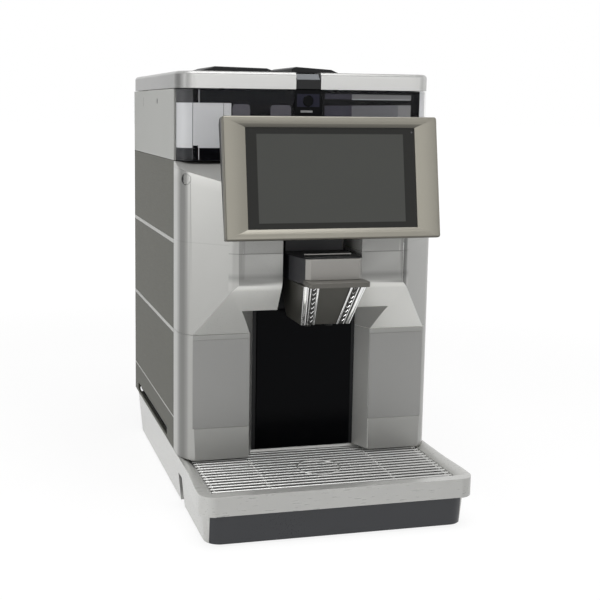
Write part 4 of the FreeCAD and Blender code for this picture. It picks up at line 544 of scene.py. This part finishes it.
def makeScreenFrame():
    # Profile: side wall, quarter round, then a band whose depth grows with the square of the way inward
    part = screenFrame
    edge, fall = part["edge"], part["fall"]
    rings = [frameRing(part["wall"], part["wall"], part["depth"], part["corner"])]
    for angle in np.linspace(0, math.pi / 2, part["edgeSteps"] + 1):
        inset = edge * (1 - math.cos(angle))
        rings.append(frameRing(inset, inset, edge * (1 - math.sin(angle)), part["corner"] - inset))
    for way in np.linspace(0, 1, part["steps"] + 1)[1:]:
        across = edge + (part["sideBand"] - edge) * way
        height = edge + (part["crossBand"] - edge) * way
        radius = (part["corner"] - edge) * (1 - way) ** 3 + part["thin"]
        rings.append(frameRing(across, height, fall * way ** 2, radius))
    rings.append(frameRing(part["sideBand"], part["crossBand"], part["depth"], part["thin"]))
    rings = np.array(rings)
    piece = addPiece("screenFrame", [(rings, True)], finishes["bezel"], "door", ("display_bezel",))
    # Painted shade and highlight kept on the points
    tones = piece.data.attributes.new("bandShade", "FLOAT_COLOR", "POINT")
    shades = np.repeat(frameShade(rings)[:, None], 4, 1)
    shades[:, 3] = 1
    tones.data.foreach_set("color", shades.ravel())


def shadeByAttribute(material, attribute):
    # Multiplies the finish's colour by the painted shade and highlight stored on the piece
    tree = material.node_tree
    reader = tree.nodes.new("ShaderNodeAttribute")
    reader.attribute_name = attribute
    multiplyColour(tree, reader.outputs["Color"])


makeScreenFrame()
shadeByAttribute(finishes["bezel"], "bandShade")


# Screen: lit picture area in metres inside a darker border, and the light sensor in mm
screenPicture = {"left": -0.0915, "right": 0.0900, "low": 0.3706, "high": 0.4735, "soft": 0.0004,
                 "colour": "#4c4d4a", "sensor": (101.4, 126.9), "sensorRadius": 1.1, "sensorDepth": 3.95,
                 "around": 16, "dome": ((1.0, 0.05), (0.9, -0.25), (0.4, -0.3))}


def paintPicture(material):
    # The picture's colour stands where a mask across and a mask upward are both 1
    part, tree = screenPicture, material.node_tree
    place = objectPlace(tree)
    across = edgeMask(tree, place["X"], part["left"], part["right"], part["soft"])
    upward = edgeMask(tree, place["Z"], part["low"], part["high"], part["soft"])
    target = tree.nodes["Principled BSDF"].inputs["Base Color"]
    source = target.links[0].from_socket
    mask = maths(tree, "MULTIPLY", across, upward)
    tree.links.new(mixColour(tree, mask, source, tone(part["colour"])), target)


def makeSensor():
    # Flat dome: rings of a circle, each with its share of the radius and its lift
    part = screenPicture
    angle = np.linspace(0, 2 * math.pi, part["around"], endpoint=False)
    rings = []
    for size, lift in part["dome"]:
        rings.append(leaned(part["sensor"][0] + part["sensorRadius"] * size * np.cos(angle),
                            part["sensor"][1] + part["sensorRadius"] * size * np.sin(angle),
                            part["sensorDepth"] + lift))
    addPiece("lightSensor", [(np.array(rings), False)], finishes["inner_grey"], "door")


paintPicture(finishes["screen"])
makeSensor()
print("screen frame and picture made")


# Bean window and tank window: what lies against their inner faces. The hopper wall is near white, lighter than
# the real wall, as painted light where it lies in shade
windowBay = {"straightEnd": 144.3, "arc": 20.0, "face": -92.0, "clearance": 0.03, "thick": 0.07, "pitch": 0.1,
             "step": 3.0, "cornerSteps": 5}
seen = {
    # Near white: painted light on the hopper wall behind the glass
    "wall": moulded("hopperWallSeen", "#fcfdff", 0.5, 0.02),
    "black": moulded("windowBlack", "#020203", 0.5, Specular_IOR_Level=0.03),
    "smoke": moulded("windowSmoke", "#0c0e11", 0.5, Specular_IOR_Level=0.03),
    "cornerLow": moulded("windowCornerLow", "#3c3d3f", 0.5, Specular_IOR_Level=0.1),
    "corner": moulded("windowCorner", "#58585a", 0.5, Specular_IOR_Level=0.2),
    "plum": moulded("windowPlum", "#6a6870", 0.5, Specular_IOR_Level=0.2),
    "deepPlum": moulded("windowDeepPlum", "#474552", 0.5, Specular_IOR_Level=0.2),
    "darkPlum": moulded("panelPlum", "#2b2b38", 0.5, Specular_IOR_Level=0.1),
    "mid": moulded("windowMid", "#85858a", 0.5, Specular_IOR_Level=0.2),
    "light": moulded("windowLight", "#a2a2a3", 0.5, Specular_IOR_Level=0.2),
}
# Side, distance from the middle along the window, heights at both ends, layer behind the glass, corner, finish
windowStrips = {
    "hopperWall": (-1, 98.5, 175.0, (453.5, 453.5), (508.8, 508.8), 2, 0, "wall"),
    "hopperSeam": (-1, 107.8, 108.6, (454.0, 454.0), (508.6, 508.6), 1, 0, "light"),
    "beanBandTop": (-1, 17.6, 140.4, (508.8, 508.8), (525.7, 525.7), 1, 0, "smoke"),
    "beanBlockTop": (-1, 140.4, 147.0, (508.8, 508.8), (525.7, 525.7), 1, 0, "black"),
    "beanCornerTop": (-1, 147.0, 175.0, (508.8, 508.8), (525.7, 525.7), 1, 0, "corner"),
    "beanBandLow": (-1, 17.6, 140.4, (438.0, 438.0), (453.5, 453.5), 1, 0, "black"),
    "beanBlockLow": (-1, 140.4, 147.0, (438.0, 438.0), (456.5, 456.5), 1, 0, "black"),
    "beanCornerLow": (-1, 147.0, 174.0, (441.0, 441.0), (453.5, 453.5), 1, 0, "cornerLow"),
    "beanBack": (-1, 17.6, 98.5, (453.5, 453.5), (508.8, 508.8), 2, 0, "black"),
    "beanPanelOuter": (-1, 74.5, 97.0, (456.0, 456.0), (507.6, 507.6), 1, 4, "plum"),
    "beanPanelInner": (-1, 21.4, 48.1, (456.0, 456.0), (507.0, 507.0), 1, 4, "plum"),
    "beanEdgeLine": (-1, 139.0, 139.8, (439.0, 439.0), (525.6, 525.6), 0, 0, "wall"),
    "beanCornerLine": (-1, 146.9, 147.5, (439.0, 439.0), (525.6, 525.6), 0, 0, "corner"),
    "tankGap": (1, 17.6, 139.4, (522.0, 522.0), (525.7, 525.7), 2, 0, "black"),
    "tankBarDark": (1, 22.9, 59.0, (515.4, 515.4), (521.8, 521.6), 1, 0, "deepPlum"),
    "tankBarLight": (1, 59.0, 139.4, (515.4, 515.4), (521.6, 521.0), 1, 0, "light"),
    "tankBarEdge": (1, 59.0, 139.4, (514.7, 514.7), (515.4, 515.4), 1, 0, "wall"),
    "tankShade": (1, 22.9, 139.4, (506.6, 508.4), (514.7, 514.7), 2, 0, "black"),
    "tankInner": (1, 17.6, 22.9, (438.0, 438.0), (522.0, 522.0), 1, 0, "black"),
    "tankDark": (1, 22.9, 59.0, (438.0, 438.0), (506.6, 507.2), 2, 0, "deepPlum"),
    "tankMid": (1, 59.0, 122.0, (438.0, 438.0), (507.2, 508.1), 2, 0, "mid"),
    "tankLight": (1, 122.0, 139.4, (438.0, 438.0), (508.4, 508.4), 2, 0, "light"),
    "tankPost": (1, 139.4, 152.0, (438.0, 438.0), (525.7, 525.7), 1, 0, "black"),
    "tankCorner": (1, 152.0, 175.0, (438.0, 438.0), (525.7, 525.7), 2, 0, "wall"),
}


def besideWindow(side, along, inset):
    # Plan place along the window's inner face: straight from the middle, then a quarter circle to the side
    part = windowBay
    turn = np.clip(along - part["straightEnd"], 0, None) / part["arc"]
    radius = part["arc"] - inset
    x = np.minimum(along, part["straightEnd"]) + radius * np.sin(turn)
    y = part["face"] + part["arc"] - radius * np.cos(turn)
    return side * x, y


def makeWindowStrips():
    # A strip is a thin rectangle carried along the window. At round corners its upper edge drops by a
    # quarter circle
    part = windowBay
    for name, (side, start, stop, lows, highs, layer, corner, finish) in windowStrips.items():
        along = np.linspace(start, stop, max(2, int((stop - start) / part["step"])))
        if corner:
            ends = start + corner * (1 - np.cos(np.linspace(0, math.pi / 2, part["cornerSteps"] + 1)))
            along = np.concatenate((ends, start + stop - ends[::-1]))
        share = (along - start) / (stop - start)
        low, high = lows[0] + (lows[1] - lows[0]) * share, highs[0] + (highs[1] - highs[0]) * share
        if corner:
            reach = np.clip(corner - np.minimum(along - start, stop - along), 0, corner)
            high = high - corner + np.sqrt(corner ** 2 - reach ** 2)
        near = part["clearance"] + layer * part["pitch"]
        far, corners = near + part["thick"], []
        for inset, height in ((near, low), (near, high), (far, high), (far, low)):
            x, y = besideWindow(side, along, inset)
            corners.append(np.stack((x, y, height), -1))
        addPiece(name, [(np.stack(corners, 1), False)], seen[finish], "base")


makeWindowStrips()
print("window strips:", len(windowStrips))


# Left upper panel: black plug in the slot, and a dark back and a plug in the hole
panelMarks = {"slotPlug": ((-166.8, 169.05, 504.05), (-163.4, 170.95, 516.45)),
              "holeBack": ((-163.55, 47.0, 505.5), (-163.3, 58.0, 516.5))}
holePlug = {"centre": (52.4, 511.0), "radius": 3.9, "outer": -166.4, "inner": -163.5, "bevel": 0.3,
            "faceSize": 0.93, "around": 24}
# Plate and light slot on the panel between the windows
panelPlate = {"centrePlate": ((-14.5, -94.6, 505.0), (15.0, -94.0, 521.0), "darkPlum"),
              "centreSlot": ((-9.5, -94.8, 498.0), (6.0, -94.0, 500.6), "light")}
thinBevel = 0.1
for name, (low, high) in panelMarks.items():
    addPiece(name, [block(low, high, thinBevel)], finishes["black_matte"], "base")
for name, (low, high, finish) in panelPlate.items():
    addPiece(name, [block(low, high, thinBevel)], seen[finish], "base")


def makeHolePlug():
    # Round plug along X: circles, the outer one smaller
    part = holePlug
    (cy, cz), radius, around = part["centre"], part["radius"], part["around"]
    angle = np.linspace(0, 2 * math.pi, around, endpoint=False)
    rings, outer = [], part["outer"]
    for x, size in ((outer, part["faceSize"]), (outer + part["bevel"], 1.0), (part["inner"], 1.0)):
        rings.append(np.column_stack((np.full(around, x), cy + radius * size * np.cos(angle),
                                      cz + radius * size * np.sin(angle))))
    addPiece("holePlug", [(np.array(rings), False)], finishes["black_matte"], "base")


makeHolePlug()


# Lock, in mm: plug whose face follows the corner strip, with a black crescent at its rear edge that is a
# painted shadow of the bore's wall. The points of the strip, as Y and X, were read from the CAD's mesh, so
# they don't follow a change of the door
lockPlug = {"centre": (-114.0, 416.5), "radius": 6.35, "inner": -149.3, "sink": 0.2, "slot": 6.0,
            "crescentWidth": 2.6, "crescentReach": 62.0, "crescentDepth": 1.2, "crescentEnd": 0.3, "crescentLift": 0.05,
            "crescentSteps": 16, "rimDrop": 0.25, "around": 48, "sizes": (1.0, 0.97, 0.8, 0.6, 0.4, 0.2, 0.02),
            "strip": ((-127.3, -148.0), (-120.65, -155.0), (-118.5, -157.0), (-115.8, -159.3),
                      (-113.0, -161.1), (-109.7, -163.0), (-107.3, -164.1), (-105.0, -164.9))}


def stripX(y):
    # X of the corner strip, along straight lines between the listed points
    return np.interp(y, *np.array(lockPlug["strip"]).T)


def makeLock():
    # Plug: circles along X, the outer ones laid on the strip. Crescent, a painted shadow: its width follows a
    # cosine
    part = lockPlug
    (cy, cz), radius, around = part["centre"], part["radius"], part["around"]
    angle = np.linspace(0, 2 * math.pi, around, endpoint=False)
    rings = [np.column_stack((np.full(around, part["inner"]), cy + radius * np.cos(angle),
                              cz + radius * np.sin(angle)))]
    for size in part["sizes"]:
        y = cy + radius * size * np.cos(angle)
        sink = part["sink"] + (part["rimDrop"] if size == 1.0 else 0.0)
        rings.append(np.column_stack((stripX(y) + sink, y, cz + radius * size * np.sin(angle))))
    addPiece("lockPlug", [(np.array(rings), False)], finishes["silver_body"], "lock",
             ("lock_cylinder",))
    # Black crescent standing for the shade on the bore's rear wall
    turn = np.radians(np.linspace(-part["crescentReach"], part["crescentReach"], part["crescentSteps"] + 1))
    outer, lift, depth = part["slot"], part["crescentLift"], part["crescentDepth"]
    inner = outer - part["crescentEnd"] - part["crescentWidth"] * np.cos(turn * 90 / part["crescentReach"])
    edges = []
    for reach, out in ((outer, lift), (inner, lift), (inner, -depth), (outer, -depth)):
        y, z = cy + reach * np.cos(turn), cz + reach * np.sin(turn)
        edges.append(np.stack((stripX(y) + part["sink"] - out, y, z), -1))
    addPiece("lockShadeCrescent", [(np.stack(edges, 1), False)], finishes["black_matte"], "lock")


makeLock()


# Spout: chrome inserts on the nose and the silver bar on the housing
chromeInsert = {"foot": 243.7, "top": 296.6, "footFront": -180.1, "topFront": -216.1, "footInner": 13.4,
                "footOuter": 31.4, "topInner": 19.2, "topOuter": 39.6, "steps": 8,
                "bars": ((0.03, 0.17, 1.7), (0.50, 0.58, 1.6), (0.67, 0.99, 2.4)),
                "bedHeight": 0.8, "chevrons": 8, "chevronSpan": (0.21, 0.46), "chevronFall": 0.055,
                "chevronWidth": 0.022, "chevronLift": 1.5, "chevronPlaces": (0.12, 0.95), "root": 0.3,
                "rim": 0.05, "roundness": 0.7, "barSteps": 8, "chevronSteps": 4, "crease": 40}


def onInsert(side, across, up, lift):
    # Place on the sloping nose front: across runs from the inner to the outer edge, up from foot to top
    part = chromeInsert
    inner = part["footInner"] + (part["topInner"] - part["footInner"]) * up
    outer = part["footOuter"] + (part["topOuter"] - part["footOuter"]) * up
    y = part["footFront"] + (part["topFront"] - part["footFront"]) * up - lift
    z = part["foot"] + (part["top"] - part["foot"]) * up
    return np.stack(np.broadcast_arrays(side * (inner + (outer - inner) * across), y, z), -1)


def makeChromeInsert(name, side, replaced):
    # Bars have a half-round section across. Each chevron is a small ridge that dips towards its middle
    part = chromeInsert
    up = np.linspace(0, 1, part["steps"])[:, None]
    top, root = part["bedHeight"], part["bedHeight"] - part["root"]
    bed = onInsert(side, np.array([(0, 0, 1, 1)]), up, np.array([(part["rim"], top, top, part["rim"])]))
    addPiece(name + "Bed", [(bed, False)], insertBed, "spout")
    solids = []
    for start, stop, lift in part["bars"]:
        angle = np.linspace(0, math.pi, part["barSteps"] + 1)
        across = (start + stop) / 2 - (stop - start) / 2 * np.cos(angle)
        height = root + (lift - root) * np.sin(angle) ** part["roundness"]
        solids.append((onInsert(side, across[None], up, height[None]), False))
    low, high = part["chevronSpan"]
    across = np.linspace(low, high, part["chevronSteps"] + 1)
    drop = part["chevronFall"] * (1 - abs(across - (low + high) / 2) / ((high - low) / 2))
    for place in np.linspace(*part["chevronPlaces"], part["chevrons"]):
        height = np.array((root, part["chevronLift"], root))
        shift = np.array((-1, 0, 1)) * part["chevronWidth"]
        upward = np.clip(place - drop[:, None] + shift[None], 0.0, 1.0)
        solids.append((onInsert(side, across[:, None], upward, height[None]), False))
    addPiece(name, solids, finishes["chrome"], "spout", (replaced,), part["crease"])


# Dark bed under the chrome bars: a painted reflection for the dark streaks that the chrome shows between them
insertBed = moulded("insertBed", "#30302e", 0.35, Metallic=0.3)
spoutBar = {"low": (-29.5, -185.5, 329.5), "high": (29.5, -183.2, 331.2), "footLow": (-28.5, -184.9, 328.02),
            "footHigh": (28.5, -183.8, 329.7)}
makeChromeInsert("chromeLeft", -1, "spout_chrome_left")
makeChromeInsert("chromeRight", 1, "spout_chrome_right")
barMetal = brushed("spoutBar", "#b4b3af", 0.3, 0.05, (1, 30, 30), Metallic=0.5)
addPiece("spoutBar", [block(spoutBar["low"], spoutBar["high"])], barMetal, "spout")
addPiece("spoutBarFoot", [block(spoutBar["footLow"], spoutBar["footHigh"])], finishes["black_matte"], "spout")
print("spout trim made")


# Drip grille, in mm: wires, border and cup ring
grille = {"half": 152.6, "front": -235.6, "rear": -91.4, "borderHeight": 55.8, "borderRadius": 1.5,
          "corner": 8.0, "cornerSteps": 5, "wireFirst": -229.2, "wireLast": -95.3, "wires": 15,
          "wireHeight": 58.1, "wireRadius": 1.55, "crossPlaces": (-146.5, -78.5, 78.5, 146.5),
          "crossHeight": 57.3, "crossRadius": 1.3, "ringCentre": (0.0, -166.0), "ringRadius": 27.0,
          "ringHeight": 58.2, "ringWire": 1.4, "ringSides": 8, "ringSteps": 36, "sides": 10, "inset": 1.0,
          "roundEnd": (0.15, 0.6, 1.0), "crease": 40}


def tube(path, along, sideways, radius, sides, closed):
    # Round section carried along a path, set in the plane of the sideways and upright directions
    angle = np.linspace(0, 2 * math.pi, sides, endpoint=False)
    ring = sideways[:, None] * np.cos(angle)[None, :, None]
    ring = ring + np.array((0, 0, 1.0)) * np.sin(angle)[None, :, None]
    return path[:, None] + ring * (radius * along)[:, None, None], closed


def rod(start, stop, radius, sides):
    # Straight wire with round ends: the radius follows a quarter circle at each end
    start, stop = np.array(start, float), np.array(stop, float)
    length = np.linalg.norm(stop - start)
    way = (stop - start) / length
    turn = np.array(grille["roundEnd"]) * math.pi / 2
    places = np.concatenate((radius * (1 - np.cos(turn)), (length - radius * (1 - np.cos(turn)))[::-1]))
    size = np.concatenate((np.sin(turn), np.sin(turn)[::-1]))
    sideways = np.tile(np.cross(way, (0, 0, 1.0)), (len(places), 1))
    return tube(start + way * places[:, None], size, sideways, radius, sides, False)


def makeGrille():
    # Wires at even steps from front to rear and cross wires under them, then the border and the cup ring
    part, sides = grille, grille["sides"]
    solids, reach, high = [], part["half"] - part["inset"], part["wireHeight"]
    for y in np.linspace(part["wireFirst"], part["wireLast"], part["wires"]):
        solids.append(rod((-reach, y, high), (reach, y, high), part["wireRadius"], sides))
    start, stop, low = part["front"] + part["inset"], part["rear"] - part["inset"], part["crossHeight"]
    for x in part["crossPlaces"]:
        solids.append(rod((x, start, low), (x, stop, low), part["crossRadius"], sides))
    # Border: rectangle with round corners, each corner a quarter circle
    turn = np.linspace(0, math.pi / 2, part["cornerSteps"] + 1)
    thick = part["borderRadius"]
    edge, front, rear = part["half"] - thick, part["front"] + thick, part["rear"] - thick
    corner, points, outward = part["corner"], [], []
    for x, y, begin in ((edge, rear, 0), (-edge, rear, 1), (-edge, front, 2), (edge, front, 3)):
        angle = turn + begin * math.pi / 2
        way = np.stack((np.cos(angle), np.sin(angle), 0 * angle), -1)
        centre = np.array((x - math.copysign(corner, x), y + (corner if y == front else -corner),
                           part["borderHeight"]))
        points.append(centre + way * corner)
        outward.append(way)
    border = np.concatenate(points)
    solids.append(tube(border, np.ones(len(border)), np.concatenate(outward), thick, sides, True))
    angle = np.linspace(0, 2 * math.pi, part["ringSteps"], endpoint=False)
    way = np.stack((np.cos(angle), np.sin(angle), 0 * angle), -1)
    circle = np.array((*part["ringCentre"], part["ringHeight"])) + way * part["ringRadius"]
    solids.append(tube(circle, np.ones(len(circle)), way, part["ringWire"], part["ringSides"], True))
    addPiece("wireGrille", solids, finishes["steel_wire"], "grille", ("drip_grille",),
             part["crease"])


makeGrille()
print("grille made")


# Softened copies of the moulded covers: the same solid with its sharp edges broken
softEdges = {
    "base_frame": 1.2, "door_head": 2.5, "column_left": 1.2, "column_right": 1.2, "left_lid": 0.6,
    "right_lid": 0.6, "side_panel_left": 0.4, "side_panel_right": 0.4, "upper_panel_left": 0.4,
    "upper_panel_right": 0.4, "column_panels": 0.25, "drip_tray": 0.8, "spout_housing": 1.0,
    "spout_front_plate": 0.5, "spout_collar": 0.5, "spout_nose": 0.8, "display_back": 1.5,
    "display_bracket": 1.0, "rear_cover": 0.5, "chute_flap": 1.2, "lid_insert": 1.5, "centre_bridge": 0.8,
    "hopper_window_left": 0.4, "hopper_window_right": 0.4,
}
# Weld distance in metres, then the angles under which faces join and over which an edge is bevelled
softSet = {"weld": 0.000004, "coplanar": math.radians(0.6), "sharp": math.radians(28), "segments": 3}


def pieceName(node):
    first, *rest = node.split("_")
    return first + "".join(word.capitalize() for word in rest)


def soften(node, width):
    # Merges the loose triangles, joins coplanar ones, then bevels the sharp edges
    shape = bmesh.new()
    shape.from_mesh(nodes[node].data)
    bmesh.ops.remove_doubles(shape, verts=shape.verts, dist=softSet["weld"])
    bmesh.ops.dissolve_limit(shape, angle_limit=softSet["coplanar"], verts=shape.verts, edges=shape.edges)
    mesh = bpy.data.meshes.new(pieceName(node))
    shape.to_mesh(mesh)
    shape.free()
    mesh.polygons.foreach_set("use_smooth", np.ones(len(mesh.polygons), bool))
    mesh.set_sharp_from_angle(angle=softSet["sharp"])
    mesh.materials.clear()
    mesh.materials.append(finishOf(node))
    piece = bpy.data.objects.new(pieceName(node), mesh)
    scene.collection.objects.link(piece)
    bevel = piece.modifiers.new("brokenEdges", "BEVEL")
    bevel.width, bevel.segments, bevel.limit_method = width / 1000, softSet["segments"], "ANGLE"
    bevel.angle_limit, bevel.harden_normals = softSet["sharp"], True
    bevel.use_clamp_overlap = True
    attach(piece, bodyOf[node])
    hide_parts(node)


for node, width in softEdges.items():
    soften(node, width)
print("softened covers:", len(softEdges))


# Floor, studio lights and world, in metres. The floor's white grows with the distance from the object
stageSet = {"half": 30.0, "drop": 0.0002, "colour": (0.9, 0.9, 0.9, 1), "roughness": 0.8, "white": 1.06,
            "growth": (("From Min", 0.6), ("From Max", 2.2), ("To Min", 0.82), ("To Max", 1.0)),
            "aim": (0, -0.05, 0.28), "worldColour": (0.9, 0.9, 0.92, 1), "worldStrength": 0.05}


def seenDirectly(tree):
    # 1 for rays that come from the camera, through glass or off a glossy surface
    path = tree.nodes.new("ShaderNodeLightPath")
    shown = maths(tree, "MAXIMUM", path.outputs["Is Camera Ray"], path.outputs["Is Transmission Ray"])
    return maths(tree, "MAXIMUM", shown, path.outputs["Is Glossy Ray"])


def addStage():
    size, mesh = stageSet["half"], bpy.data.meshes.new("studioFloor")
    corners = [(-size, -size, 0), (size, -size, 0), (size, size, 0), (-size, size, 0)]
    mesh.from_pydata(corners, [], [(0, 1, 2, 3)])
    floor = bpy.data.objects.new("studioFloor", mesh)
    floor.location.z = -stageSet["drop"]
    scene.collection.objects.link(floor)
    material = bpy.data.materials.new("paleFloor")
    material.use_nodes = True
    tree = material.node_tree
    principled, output = tree.nodes["Principled BSDF"], tree.nodes["Material Output"]
    principled.inputs["Base Color"].default_value = stageSet["colour"]
    principled.inputs["Roughness"].default_value = stageSet["roughness"]
    glow, mix = tree.nodes.new("ShaderNodeEmission"), tree.nodes.new("ShaderNodeMixShader")
    distance = tree.nodes.new("ShaderNodeVectorMath")
    distance.operation = "LENGTH"
    tree.links.new(objectCoords(tree), distance.inputs[0])
    spread = tree.nodes.new("ShaderNodeMapRange")
    spread.interpolation_type = "SMOOTHSTEP"
    tree.links.new(distance.outputs["Value"], spread.inputs["Value"])
    for title, value in stageSet["growth"]:
        spread.inputs[title].default_value = value
    tree.links.new(maths(tree, "MULTIPLY", seenDirectly(tree), spread.outputs["Result"]), mix.inputs[0])
    glow.inputs["Strength"].default_value = stageSet["white"]
    tree.links.new(principled.outputs[0], mix.inputs[1])
    tree.links.new(glow.outputs[0], mix.inputs[2])
    tree.links.new(mix.outputs[0], output.inputs["Surface"])
    mesh.materials.append(material)


# Name, place, edge length in metres, power in watts
lamps = [
    ("leftLamp", (-2.4, -0.73, 0.9), 1.4, 18),
    ("frontLamp", (0.6, -2.6, 1.0), 1.6, 7),
    ("rightFrontLamp", (2.0, -1.5, 1.2), 1.4, 4),
    ("rightLamp", (2.5, 0.5, 0.9), 1.4, 8),
    ("topLamp", (0.0, -0.6, 2.6), 1.8, 52),
]


def addLights():
    for name, place, size, power in lamps:
        data = bpy.data.lights.new(name, "AREA")
        data.size, data.energy = size, power
        lamp = bpy.data.objects.new(name, data)
        lamp.location = place
        lamp.rotation_euler = (Vector(stageSet["aim"]) - Vector(place)).to_track_quat("-Z", "Y").to_euler()
        scene.collection.objects.link(lamp)
    world = bpy.data.worlds.new("studio")
    scene.world = world
    world.use_nodes = True
    tree = world.node_tree
    soft, shown = tree.nodes["Background"], tree.nodes.new("ShaderNodeBackground")
    soft.inputs["Color"].default_value = stageSet["worldColour"]
    soft.inputs["Strength"].default_value = stageSet["worldStrength"]
    shown.inputs["Color"].default_value, shown.inputs["Strength"].default_value = (1, 1, 1, 1), 1.0
    mix = tree.nodes.new("ShaderNodeMixShader")
    tree.links.new(seenDirectly(tree), mix.inputs[0])
    tree.links.new(soft.outputs[0], mix.inputs[1])
    tree.links.new(shown.outputs[0], mix.inputs[2])
    tree.links.new(mix.outputs[0], tree.nodes["World Output"].inputs["Surface"])
    scene.view_settings.view_transform = "Standard"


addStage()
addLights()
print("stage and lights set")
